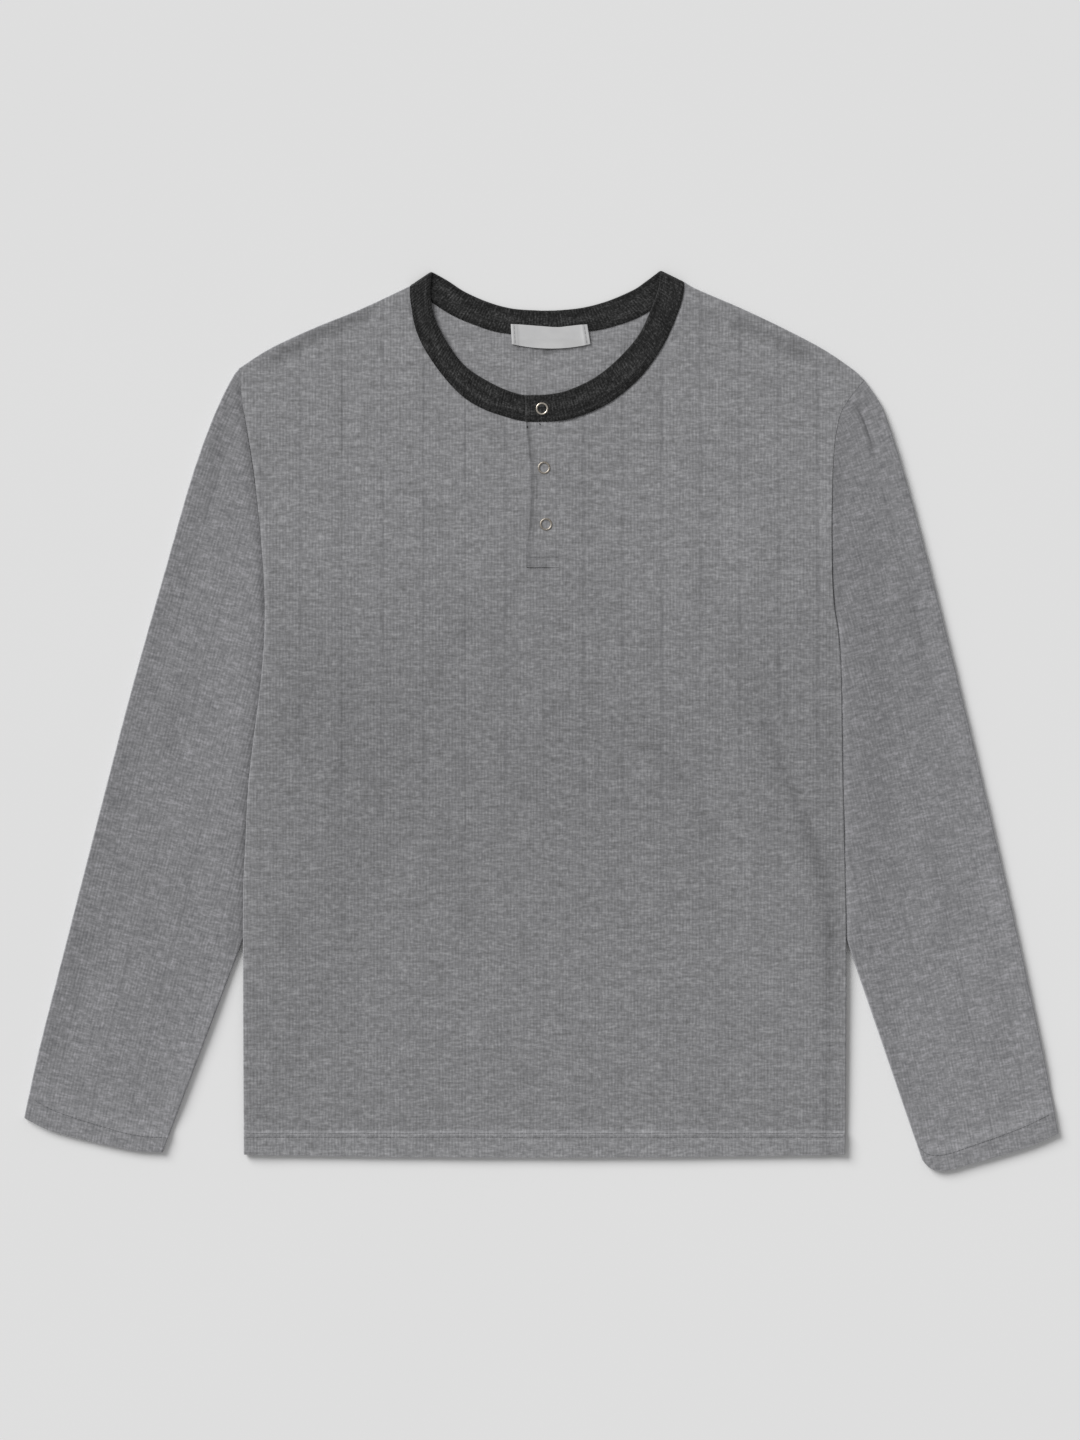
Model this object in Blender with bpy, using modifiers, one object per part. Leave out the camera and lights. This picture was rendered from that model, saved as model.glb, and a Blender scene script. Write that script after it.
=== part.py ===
"""Henley shirt laid flat on its back, as the cut and sewn pieces of a rib jersey shirt.

Lengths in the tables are millimetres, and they turn to metres when a mesh is made. +X is the
wearer's left, +Y runs from hem to collar and +Z is up from the surface that the shirt lies on.
The origin is the middle of the laid shirt, on that surface. "out" is the distance from X = 0
towards the side that a table belongs to.
"""

import math
from collections import namedtuple
from dataclasses import dataclass

import bmesh
import bpy
import numpy as np

MM = 0.001

# Cloth.
WALL = 1.2  # fine rib jersey
HEM_WALL = 2.2  # the same cloth turned up and doubled
HEM_DEPTH = 17.0
SEAM = 0.3  # gap between pieces that are sewn together
AIR = 0.8  # between the front and the back where they lie on each other

# Edges where the laid body or sleeve folds over.
FOLD_RADIUS = 3.0
FOLD_ANGLES = (0.0, 45.0, 90.0)  # steps round the fold, from its middle to the top
PUFF = 1.0  # how much a folded edge swells
PUFF_REACH = 12.0

# Dropped needles leave a fine groove along the grain.
NEEDLE_DEPTH = 0.45
NEEDLE_HALF_WIDTH = 2.2

# Body.
HEM_CORNER_Y = -346.8
HEM_DROP = 2.4  # the hem hangs a little lower at its middle
CHEST_Y = 122.5  # foot of the placket slit
SLIT = (-4.0, 13.8)  # left and right edge of the slit, X
CENTRE_NEEDLE = 2.8
LOW_ROWS = (-285.0, -235.0, -185.0, -135.0, -88.0, -42.0, 0.0, 34.0, 62.0, 86.0, 107.0)
HIGH_ROWS = (0.25, 0.5, 0.75, 1.0)  # shares of the way from the chest to the trough row
NECK_FILLS = ((14.0, 0.40), (34.0, 0.75))  # distance down the front seam, share to the next needle
EDGE_ROWS = (24.0, 16.0, 8.0)  # distances below the top edge
TROUGH_DEPTH = 0.45  # soft hollow that runs along each shoulder
TROUGH_WIDTH = 6.0

# Sleeves.
SLEEVE_THICK = 3.3  # both layers and the air between them
CUFF_THICK = 5.2
FIRST_NEEDLE = 20.0  # from the sleeve's outer fold
NEEDLE_PITCH = 32.0
ARMHOLE_GAP = 0.6  # each way, so that the slanting start of the seam stays clear
TIP_FILLS = (6.5, 11.0)  # more columns where the armhole bends near the shoulder tip
SLEEVE_NEEDLES = 5
SLEEVE_ROWS = (0.0, 0.03, 0.08, 0.15, 0.23, 0.32, 0.42, 0.52, 0.62, 0.72, 0.82, 0.91)
SQUEEZE = 1.2  # least distance between needle columns pressed together at the inner edge
SLEEVE_PUFF = 0.9
SLEEVE_EASE = 14.0  # distance over which the sleeve thins behind its cuff
FOLD_RUN_ON = 60.0  # the outer fold's line, carried straight on past its two ends
DENSE_ACROSS, DENSE_ALONG = 241, 900  # points of the curves that the sleeve is measured on

# The sleeve's spare width is tucked under the body, which rides over it.
TUCK_LIFT = 3.8
TUCK_MARGIN = 9.0  # how far the body stays up past the tucked edge
TUCK_TOP_MARGIN = 20.0
TUCK_RAMP = 22.0
TUCK_REACH = 130.0  # nearer the middle than this, the body never rides over a sleeve

# Neckband, a doubled strip of the same rib.
BAND_THICK = 2.2
BAND_GAP = 0.45  # to the panels, whose seam runs in short straight steps
UPPER_END_BOTTOM = 3.95  # underside of the band at its upper end, on the placket
UPPER_END_DROP = 1.0  # how much lower the band lies at that side's shoulder
LOWER_END_BOTTOM = 1.55
LOWER_END_RISE = 1.25  # how much higher it lies at the other shoulder
BAND_LAP_LEFT = -13.0  # X where the upper end stops
BAND_LAP_RIGHT = 12.0  # X where the lower end stops
BAND_FOLD_STEPS = 4
BAND_SECTION = (  # place across the band from its seam to its fold, height as a share
    (0.0, -0.40),
    (0.0, 0.40),
    (0.08, 0.50),
    (0.90, 0.50),
    (0.98, 0.28),
    (1.0, 0.0),
    (0.98, -0.28),
    (0.90, -0.50),
    (0.08, -0.50),
)

# Placket.
PLACKET_TOP_Y = 237.8
PLACKET_FOOT_Y = 122.8
PLACKET_RIGHT_X = 13.5
PLACKET_THICK = 1.5
UNDER_BOTTOM = 1.6
UPPER_BOTTOM = 3.55
RIGHT_RISE = 1.6  # the panel beside the upper strip rises to lie level with it
RIGHT_RISE_REACH = 22.0

# Snaps.
SNAP_RADIUS = 5.0
SNAP_WALL = 1.15
SNAP_HEIGHT = 0.8

# Label.
LABEL_LEFT, LABEL_RIGHT = -24.4, 37.4
LABEL_TOP_Y, LABEL_FOOT_Y = 317.2, 301.0
LABEL_BOW = 3.6  # its lower edge hangs lower at the middle
LABEL_THICK = 1.0
LABEL_STEP = (297.0, 305.5)  # Y where it comes down from the band to the panel

Side = namedtuple("Side", "y out")
Point = namedtuple("Point", "out y")
Strip = namedtuple("Strip", "x y")
Snap = namedtuple("Snap", "name x y")

SNAPS = (
    Snap("snap_1", 0.4, 249.2),
    Snap("snap_2", 2.0, 202.0),
    Snap("snap_3", 3.6, 156.8),
)

# Free edge of the upper placket strip, which bows towards +X.
PLACKET_EDGE = (
    Strip(-12.4, 237.8),
    Strip(-10.8, 222.0),
    Strip(-8.2, 194.0),
    Strip(-8.8, 164.4),
    Strip(-11.6, 139.6),
    Strip(-12.4, 122.8),
)


@dataclass(frozen=True)
class Half:
    """Outline of one half of the laid shirt; rows run from hem to collar or from collar to cuff."""

    name: str
    sign: int
    underarm_y: float
    needles: tuple  # dropped needles, out from X = 0, the outermost first
    side: tuple  # body edge from the hem up to the shoulder tip
    shoulder: tuple  # from the tip to the neck
    neck_front: tuple  # seam of the band on the front panel, down to the middle
    neck_back: tuple
    band_front: tuple  # folded free edge of the band, from the peak to the middle
    band_back: tuple
    sleeve_fold: tuple  # outer edge of the sleeve from the shoulder tip to the cuff
    cuff: tuple
    tuck: Point  # upper inner corner of the sleeve, hidden under the body


WEARERS_RIGHT = Half(
    name="right",
    sign=-1,
    underarm_y=79.0,
    needles=(192.4, 159.6, 126.8, 94.0, 61.2, 28.4),
    side=(
        Side(-349.0, 238.0),
        Side(-260.0, 238.4),
        Side(-175.0, 238.6),
        Side(-130.0, 238.2),
        Side(-93.0, 236.4),
        Side(-56.0, 234.6),
        Side(-20.0, 230.8),
        Side(17.0, 226.0),
        Side(50.0, 222.6),
        Side(79.0, 221.2),
        Side(115.0, 222.2),
        Side(155.0, 225.4),
        Side(195.0, 229.8),
        Side(230.0, 235.2),
        Side(258.0, 239.8),
        Side(282.0, 241.4),
    ),
    shoulder=(
        Point(241.4, 282.0),
        Point(217.2, 297.4),
        Point(183.6, 313.2),
        Point(146.0, 328.4),
        Point(111.6, 344.4),
        Point(105.2, 347.6),
    ),
    neck_front=(
        Point(105.2, 347.6),
        Point(104.8, 335.6),
        Point(100.4, 312.4),
        Point(90.8, 292.4),
        Point(75.6, 271.6),
        Point(61.2, 257.6),
        Point(46.8, 249.2),
        Point(32.4, 244.0),
        Point(13.2, 239.2),
        Point(-14.0, 238.2),
    ),
    neck_back=(
        Point(105.2, 347.6),
        Point(88.4, 334.8),
        Point(70.8, 323.6),
        Point(51.6, 315.6),
        Point(32.4, 310.0),
        Point(0.0, 307.4),
    ),
    band_front=(
        Point(87.6, 358.8),
        Point(88.8, 346.0),
        Point(88.2, 334.8),
        Point(84.4, 319.6),
        Point(74.8, 301.2),
        Point(61.2, 283.6),
        Point(42.0, 270.8),
        Point(22.8, 262.4),
        Point(6.4, 259.6),
        Point(-14.0, 260.6),
    ),
    band_back=(
        Point(87.6, 358.8),
        Point(74.8, 351.6),
        Point(61.2, 342.8),
        Point(42.0, 334.4),
        Point(22.8, 329.4),
        Point(0.0, 327.8),
    ),
    sleeve_fold=(
        Point(241.4, 282.0),
        Point(248.4, 272.0),
        Point(263.2, 240.4),
        Point(280.2, 192.4),
        Point(300.8, 120.4),
        Point(327.8, 24.4),
        Point(352.8, -71.6),
        Point(377.4, -167.6),
        Point(401.8, -263.6),
        Point(413.6, -317.6),
    ),
    cuff=(
        Point(413.6, -317.6),
        Point(393.2, -327.6),
        Point(362.8, -335.8),
        Point(327.6, -343.2),
        Point(302.8, -345.2),
    ),
    tuck=Point(148.0, 64.4),
)

WEARERS_LEFT = Half(
    name="left",
    sign=1,
    underarm_y=90.8,
    needles=(221.2, 190.0, 158.8, 127.6, 96.4, 65.2, 34.0),
    side=(
        Side(-349.0, 242.8),
        Side(-260.0, 243.4),
        Side(-174.0, 243.6),
        Side(-117.0, 242.4),
        Side(-31.6, 240.6),
        Side(39.6, 239.4),
        Side(70.8, 237.2),
        Side(90.8, 234.0),
        Side(115.6, 232.2),
        Side(156.4, 231.8),
        Side(195.0, 232.6),
        Side(220.4, 234.2),
        Side(234.8, 236.4),
        Side(246.0, 239.4),
        Side(257.2, 246.0),
        Side(265.0, 252.0),
        Side(272.4, 258.0),
    ),
    shoulder=(
        Point(258.0, 272.4),
        Point(248.4, 281.2),
        Point(224.4, 297.4),
        Point(194.0, 313.4),
        Point(161.2, 329.0),
        Point(123.6, 345.2),
        Point(114.0, 350.8),
    ),
    neck_front=(
        Point(114.0, 350.8),
        Point(113.2, 340.4),
        Point(109.0, 326.0),
        Point(98.0, 301.2),
        Point(82.8, 278.8),
        Point(69.2, 265.2),
        Point(53.2, 253.4),
        Point(34.0, 244.6),
        Point(14.8, 239.6),
        Point(-14.0, 238.6),
    ),
    neck_back=(
        Point(114.0, 350.8),
        Point(101.0, 337.6),
        Point(86.8, 327.6),
        Point(73.2, 320.4),
        Point(53.2, 314.0),
        Point(34.0, 310.6),
        Point(0.0, 307.4),
    ),
    band_front=(
        Point(94.8, 359.6),
        Point(93.6, 346.0),
        Point(87.0, 327.6),
        Point(77.2, 307.6),
        Point(61.2, 289.2),
        Point(43.6, 274.8),
        Point(24.4, 265.2),
        Point(8.0, 261.0),
        Point(-14.0, 260.0),
    ),
    band_back=(
        Point(94.8, 359.6),
        Point(82.8, 350.6),
        Point(73.2, 344.2),
        Point(53.2, 335.6),
        Point(34.0, 330.4),
        Point(14.8, 328.2),
        Point(0.0, 327.8),
    ),
    sleeve_fold=(
        Point(258.0, 272.4),
        Point(269.0, 256.4),
        Point(276.2, 240.4),
        Point(291.2, 192.4),
        Point(310.6, 120.4),
        Point(334.6, 24.4),
        Point(357.6, -71.6),
        Point(379.6, -167.6),
        Point(400.4, -263.6),
        Point(413.2, -330.0),
    ),
    cuff=(
        Point(413.2, -330.0),
        Point(393.2, -339.2),
        Point(368.0, -347.4),
        Point(342.8, -354.4),
        Point(324.0, -359.6),
        Point(312.0, -358.6),
        Point(304.4, -351.6),
    ),
    tuck=Point(161.6, 64.4),
)

HALVES = (WEARERS_RIGHT, WEARERS_LEFT)

# Principled BSDF values of each material: colour, roughness.
FINISHES = {
    "rib_jersey": ((0.205, 0.205, 0.212), 0.95),
    "neck_rib": ((0.036, 0.037, 0.040), 0.95),
    "snap_metal": ((0.55, 0.52, 0.47), 0.35),
    "label_weave": ((0.50, 0.50, 0.51), 0.85),
}


# ---------------------------------------------------------------- curves


def spline(points, per_span=12):
    """Dense points of a smooth Catmull-Rom curve through the given points."""
    given = np.asarray(points, float)
    padded = np.vstack([2 * given[0] - given[1], given, 2 * given[-1] - given[-2]])
    t = np.linspace(0.0, 1.0, per_span, endpoint=False)[:, None]
    spans = []
    for a, b, c, d in zip(padded, padded[1:], padded[2:], padded[3:]):
        cubic = 3 * b - a - 3 * c + d
        square = 2 * a - 5 * b + 4 * c - d
        spans.append(b + 0.5 * ((c - a) * t + square * t**2 + cubic * t**3))
    return np.vstack([*spans, given[-1]])


def lengths(curve):
    """Distance along a curve of each of its points."""
    steps = np.linalg.norm(np.diff(curve, axis=0), axis=1)
    return np.concatenate([[0.0], np.cumsum(steps)])


def along(curve, shares):
    """Points at the given shares of a curve's length."""
    run = lengths(curve)
    places = np.asarray(shares) * run[-1]
    return np.stack([np.interp(places, run, curve[:, axis]) for axis in range(curve.shape[1])], -1)


def nearest(curve, x, y):
    """Distance of each point (x, y) from a curve."""
    gaps = np.hypot(x[..., None] - curve[:, 0], y[..., None] - curve[:, 1])
    return gaps.min(axis=-1)


def step(low, high, value):
    """0 below low, 1 above high, and a smooth rise between them."""
    share = np.clip((np.asarray(value, float) - low) / (high - low), 0.0, 1.0)
    return share * share * (3.0 - 2.0 * share)


def bump(distance, reach):
    """A soft hill of height 1 that fades out at about twice its reach."""
    return np.exp(-((distance / reach) ** 2))


def curve_of(half, rows):
    """Smooth curve through a table's rows, in X and Y."""
    return spline([(half.sign * row.out, row.y) for row in rows])


def side_out(half, y):
    """How far out the body's edge is at a height."""
    curve = spline(half.side)
    return np.interp(y, curve[:, 0], curve[:, 1])


def top_y(half, rows, out):
    """Height of the curve through rows that run inwards, at a distance out."""
    curve = spline(rows)[::-1]
    return np.interp(out, curve[:, 0], curve[:, 1])


def hem_y(x):
    """The hem's lower edge."""
    widest = WEARERS_LEFT.side[0].out
    return HEM_CORNER_Y - HEM_DROP * (1.0 - (np.abs(x) / widest) ** 2)


# ---------------------------------------------------------------- heights of the layers


def lift(x, y):
    """How high the back panel's underside rides, over the sleeves tucked under the body."""
    total = 0.0
    for half in HALVES:
        out = half.sign * x
        run_out = half.cuff[-1].out - half.tuck.out
        run_y = half.cuff[-1].y - half.tuck.y
        length = math.hypot(run_out, run_y)
        inwards = ((out - half.tuck.out) * run_y - (y - half.tuck.y) * run_out) / length
        underarm_out = side_out(half, half.underarm_y)
        slope = (half.underarm_y - half.tuck.y) / (underarm_out - half.tuck.out)
        above = y - half.tuck.y - slope * (out - half.tuck.out)
        away = np.hypot(
            np.maximum(inwards - TUCK_MARGIN, 0.0), np.maximum(above - TUCK_TOP_MARGIN, 0.0)
        )
        total = total + TUCK_LIFT * (1.0 - step(0.0, TUCK_RAMP, away))
    return total


def body_wall(y):
    """Thickness of a body panel: doubled at the hem."""
    edge = HEM_CORNER_Y + HEM_DEPTH
    return HEM_WALL + (WALL - HEM_WALL) * step(edge - 1.0, edge + 2.0, y)


def neck_rise(x, y):
    """The front comes up to meet the neckband, less so towards its lower end."""
    right = 1.6 - 0.6 * step(20.0, 70.0, x)
    left = step(14.0, 48.0, -x)
    rise = np.where(x > 0.0, right, left)
    near = np.minimum(*(nearest(curve_of(half, half.neck_front), x, y) for half in HALVES))
    return rise * bump(near, 26.0)


def slit_rise(x, y):
    """The front beside the upper placket strip lies level with it."""
    across = np.where(x > SLIT[1], bump(x - SLIT[1], RIGHT_RISE_REACH), step(*SLIT, x))
    return RIGHT_RISE * across * step(CHEST_Y - 28.0, CHEST_Y + 4.0, y)


def shoulder_trough(x, y):
    """Depth of the soft hollow below each shoulder."""
    depth = 0.0
    for half in HALVES:
        out = half.sign * x
        below = top_y(half, half.shoulder, out) - y
        shown = step(122.0, 140.0, out) * (1.0 - step(200.0, 226.0, out))
        depth = depth + TROUGH_DEPTH * shown * bump(below - EDGE_ROWS[1], TROUGH_WIDTH)
    return depth


def air(x, y):
    """Gap between the front and the back."""
    gap = AIR + np.maximum(neck_rise(x, y), slit_rise(x, y)) - shoulder_trough(x, y)
    for half in HALVES:
        out = half.sign * x
        gap = gap + PUFF * bump(np.maximum(side_out(half, y) - out, 0.0), PUFF_REACH)
        below = np.maximum(top_y(half, half.shoulder, out) - y, 0.0)
        on_shoulder = step(100.0, 120.0, out)
        gap = gap + PUFF * on_shoulder * bump(below, PUFF_REACH)
    return gap


def front_top(x, y):
    """Height of the front panel's face."""
    return lift(x, y) + 2.0 * body_wall(y) + air(x, y)


# ---------------------------------------------------------------- meshes


def make_object(name, mesh_builder, finish, collection):
    """Closes a bmesh into a named object with its material."""
    bmesh.ops.recalc_face_normals(mesh_builder, faces=mesh_builder.faces)
    mesh = bpy.data.meshes.new(name)
    mesh_builder.to_mesh(mesh)
    mesh_builder.free()
    mesh.materials.append(bpy.data.materials[finish])
    thing = bpy.data.objects.new(name, mesh)
    collection.objects.link(thing)
    return thing


def wall_mesh(outer, inner, coarse, keep=None, wrap=False):
    """One closed wall between a dense outer grid and an inner grid on some of its columns.

    outer and inner are rows x columns x 3. coarse lists the columns that the inner face uses, and
    keep says which cells between coarse columns exist. With wrap the columns close into a tube.
    """
    rows, columns = outer.shape[:2]
    spans = list(zip(coarse, coarse[1:]))
    if wrap:
        spans.append((coarse[-1], columns))
    if keep is None:
        keep = np.ones((rows - 1, len(spans)), bool)
    builder = bmesh.new()
    made = {}

    def vert(grid, row, column):
        key = (grid is outer, row, column % columns)
        if key not in made:
            made[key] = builder.verts.new(grid[row, column % columns] * MM)
        return made[key]

    def kept(row, span):
        if wrap:
            span %= len(spans)
        return 0 <= row < rows - 1 and 0 <= span < len(spans) and keep[row, span]

    for row in range(rows - 1):
        for index, (first, last) in enumerate(spans):
            if not kept(row, index):
                continue
            for column in range(first, last):
                builder.faces.new(
                    [
                        vert(outer, row, column),
                        vert(outer, row, column + 1),
                        vert(outer, row + 1, column + 1),
                        vert(outer, row + 1, column),
                    ]
                )
            builder.faces.new(
                [
                    vert(inner, row, first),
                    vert(inner, row + 1, first),
                    vert(inner, row + 1, last),
                    vert(inner, row, last),
                ]
            )
            for edge_row, beyond in ((row, row - 1), (row + 1, row + 1)):
                if not kept(beyond, index):
                    edge = [vert(outer, edge_row, column) for column in range(first, last + 1)]
                    edge += [vert(inner, edge_row, last), vert(inner, edge_row, first)]
                    builder.faces.new(edge)
            for column, beyond in ((first, index - 1), (last, index + 1)):
                if not kept(row, beyond):
                    builder.faces.new(
                        [
                            vert(outer, row, column),
                            vert(outer, row + 1, column),
                            vert(inner, row + 1, column),
                            vert(inner, row, column),
                        ]
                    )
    bmesh.ops.triangulate(builder, faces=[f for f in builder.faces if len(f.verts) > 4])
    return builder


def loft_mesh(rings):
    """One closed body through rings of equally many points, with a cap at each end."""
    builder = bmesh.new()
    loops = [[builder.verts.new(point * MM) for point in ring] for ring in rings]
    for loop, following in zip(loops, loops[1:]):
        for index in range(len(loop)):
            after = (index + 1) % len(loop)
            builder.faces.new([loop[index], loop[after], following[after], following[index]])
    builder.faces.new(loops[0])
    builder.faces.new(loops[-1])
    return builder


# ---------------------------------------------------------------- body panels


@dataclass
class Column:
    """One line of points from hem to top edge."""

    low: object  # X at a height, below the chest
    top: tuple  # X and Y of its upper end
    side: int = 0  # sign of the edge fold that it belongs to
    angle: float = 90.0  # place round the edge fold
    on_shoulder: bool = True
    needle: bool = False
    inner: bool = True

    def x(self, y):
        """X at each height: straight from the chest line to the upper end."""
        share = np.clip((y - CHEST_Y) / (self.top[1] - CHEST_Y), 0.0, 1.0)
        return self.low(y) + (self.top[0] - self.low(self.top[1])) * share


def upright(half, out, neck_rows):
    """A column along the grain."""
    x = half.sign * out
    on_shoulder = out >= half.shoulder[-1].out
    top = float(top_y(half, half.shoulder if on_shoulder else neck_rows, out))
    return Column(lambda y: x + 0.0 * y, (x, top), on_shoulder=on_shoulder)


def needle_columns(half, out, neck_rows, grooved):
    """A dropped needle: its groove and, on a grooved face, its two rims."""
    centre = upright(half, out, neck_rows)
    if not grooved:
        return [centre]
    centre.needle = True
    outer_rim = upright(half, out + NEEDLE_HALF_WIDTH, neck_rows)
    inner_rim = upright(half, out - NEEDLE_HALF_WIDTH, neck_rows)
    outer_rim.inner = inner_rim.inner = False
    return [outer_rim, centre, inner_rim]


def edge_column(half, angle):
    """A column that follows the body's side at its place round the fold."""
    inset = FOLD_RADIUS * (1.0 - math.cos(math.radians(angle)))
    tip_out = half.side[-1].out - inset
    top = (half.sign * tip_out, float(top_y(half, half.shoulder, tip_out)))
    return Column(
        lambda y: half.sign * (side_out(half, y) - inset), top, side=half.sign, angle=angle
    )


def between_edge_and_needle(half, share):
    """A column part of the way from the side to the outermost needle."""
    needle = half.needles[0] + NEEDLE_HALF_WIDTH

    def low(y):
        return half.sign * (needle + (side_out(half, y) - FOLD_RADIUS - needle) * share)

    tip_out = needle + (half.side[-1].out - FOLD_RADIUS - needle) * share
    return Column(low, (half.sign * tip_out, float(top_y(half, half.shoulder, tip_out))))


def corner_columns(half, next_needle, neck_rows, is_front):
    """Columns at the neck's corner and down the steep start of the front neck seam."""
    corner = half.shoulder[-1].out
    columns = [upright(half, corner, neck_rows)]
    if not is_front:
        return columns
    curve = curve_of(half, neck_rows)
    run = lengths(curve)
    for place, share in NECK_FILLS:
        x, y = along(curve, [place / run[-1]])[0]
        base = half.sign * (corner + (next_needle - corner) * share)
        columns.append(Column(lambda height, x=base: x + 0.0 * height, (x, y), on_shoulder=False))
    return columns


def half_columns(half, is_front):
    """All columns of one half, from its side inwards."""
    neck_rows = half.neck_front if is_front else half.neck_back
    columns = [edge_column(half, angle) for angle in FOLD_ANGLES]
    columns += [between_edge_and_needle(half, share) for share in (2 / 3, 1 / 3)]
    stops = [*half.needles, half.sign * SLIT[0 if half.sign < 0 else 1]]
    corner = half.shoulder[-1].out
    for needle, following in zip(stops, stops[1:]):
        columns += needle_columns(half, needle, neck_rows, is_front)
        if following < corner < needle:
            columns += corner_columns(half, following, neck_rows, is_front)
            continue
        fills = 2 if needle > TUCK_REACH else 1
        for index in range(1, fills + 1):
            out = needle + (following - needle) * index / (fills + 1)
            columns.append(upright(half, out, neck_rows))
    columns.append(upright(half, stops[-1], neck_rows))
    return columns


def panel_columns(is_front):
    """Columns of a whole panel, from -X to +X."""
    neck_rows = WEARERS_LEFT.neck_front if is_front else WEARERS_LEFT.neck_back
    middle = needle_columns(WEARERS_LEFT, CENTRE_NEEDLE, neck_rows, is_front)
    right_first = half_columns(WEARERS_RIGHT, is_front)
    left_last = half_columns(WEARERS_LEFT, is_front)
    return [*right_first, *reversed(middle), *reversed(left_last)]


def panel_rows(columns):
    """Y of each row and column, with the fold weight and angle of the top rows."""
    lines = []
    hem = np.array([float(hem_y(column.low(np.float64(HEM_CORNER_Y)))) for column in columns])
    tops = np.array([column.top[1] for column in columns])
    flat = np.ones_like(tops)
    stitch = HEM_CORNER_Y + HEM_DEPTH
    for y in (stitch - 1.0, stitch + 2.0, *LOW_ROWS, CHEST_Y):
        lines.append(y * flat)
    chest_row = len(lines)
    lines.insert(0, hem)
    for share in HIGH_ROWS:
        lines.append(CHEST_Y + (tops - EDGE_ROWS[0] - CHEST_Y) * share)
    for below in EDGE_ROWS[1:]:
        lines.append(tops - below)
    angles = [90.0] * len(lines)
    for angle in reversed(FOLD_ANGLES):
        lines.append(tops - FOLD_RADIUS * (1.0 - math.cos(math.radians(angle))))
        angles.append(angle)
    return np.array(lines), np.radians(angles), chest_row


def panel_points(columns, is_front):
    """Outer and inner points of a body panel, and the row at the chest line."""
    y, row_angles, chest_row = panel_rows(columns)
    x = np.stack([column.x(y[:, index]) for index, column in enumerate(columns)], axis=1)
    wall = body_wall(y)
    side_angle = np.radians([column.angle for column in columns])[None, :]
    side_sign = np.array([column.side for column in columns])[None, :]
    underarm = {half.sign: half.underarm_y for half in HALVES}
    armhole_foot = np.array([underarm.get(column.side, 0.0) for column in columns])
    side_weight = 1.0 - step(-8.0, 10.0, y - armhole_foot[None, :])
    top_weight = np.array([1.0 if column.on_shoulder else 0.0 for column in columns])[None, :]
    side_rise = 1.0 + (np.sin(side_angle) - 1.0) * side_weight
    top_rise = 1.0 + (np.sin(row_angles)[:, None] - 1.0) * top_weight
    rise = side_rise * top_rise

    low = lift(x, y)
    middle = low + wall + air(x, y) / 2.0
    inner_x = x - side_sign * wall * np.cos(side_angle) * side_weight
    inner_y = y - wall * np.cos(row_angles)[:, None] * top_weight
    if is_front:
        base = middle + SEAM / 2.0
        outer_z = base + (front_top(x, y) - base) * rise
        inner_z = outer_z - wall * rise
        needle = np.array([column.needle for column in columns])[None, :]
        outer_z = outer_z - NEEDLE_DEPTH * needle * rise
    else:
        base = middle - SEAM / 2.0
        outer_z = base + (low - base) * rise
        inner_z = outer_z + wall * rise
    return np.stack([x, y, outer_z], -1), np.stack([inner_x, inner_y, inner_z], -1), chest_row


def body_panel(name, is_front, collection):
    """A front or back panel, and its outer points."""
    columns = panel_columns(is_front)
    outer, inner, chest_row = panel_points(columns, is_front)
    coarse = [index for index, column in enumerate(columns) if column.inner]
    keep = np.ones((len(outer) - 1, len(coarse) - 1), bool)
    if is_front:
        edges = outer[0, coarse, 0]
        middles = (edges[:-1] + edges[1:]) / 2.0
        keep[chest_row:, (middles > SLIT[0]) & (middles < SLIT[1])] = False
    make_object(name, wall_mesh(outer, inner, coarse, keep), "rib_jersey", collection)
    return columns, outer


# ---------------------------------------------------------------- sleeves


def armhole(half, panel_outer):
    """The sleeve's upper end: down the body's armhole seam, then along the hidden tuck."""
    edge = panel_outer[:, 0 if half.sign < 0 else -1, :2]
    seam = [point for point in edge[::-1] if point[1] > half.underarm_y + 4.0]
    underarm = np.array([half.sign * float(side_out(half, half.underarm_y)), half.underarm_y])
    shift = np.array([half.sign * ARMHOLE_GAP, -ARMHOLE_GAP])
    points = [*seam, underarm]
    tuck = np.array([half.sign * half.tuck.out, half.tuck.y])
    return np.vstack([np.array(points) + shift, tuck])


def sleeve_rows(half, panel_outer):
    """Rows of dense points across the sleeve, from armhole to cuff, with each row's share."""
    top = armhole(half, panel_outer)
    fold = curve_of(half, half.sleeve_fold)
    fold[0] = top[0]  # the armhole's first point stands a seam gap off the shoulder tip
    cuff = curve_of(half, half.cuff)
    inner_edge = np.array([top[-1], cuff[-1]])
    length = lengths(fold)[-1]
    shares = [*SLEEVE_ROWS, 1.0 - (HEM_DEPTH + 3.0) / length, 1.0 - HEM_DEPTH / length, 1.0]
    across = np.linspace(0.0, 1.0, DENSE_ACROSS)
    upper, lower = along(top, across), along(cuff, across)
    rows = []
    for share in shares:
        start, end = along(fold, [share])[0], along(inner_edge, [share])[0]
        row = upper * (1.0 - share) + lower * share
        row = row + (1.0 - across)[:, None] * (start - row[0]) + across[:, None] * (end - row[-1])
        rows.append(row)
    return rows, np.array(shares), fold


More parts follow.
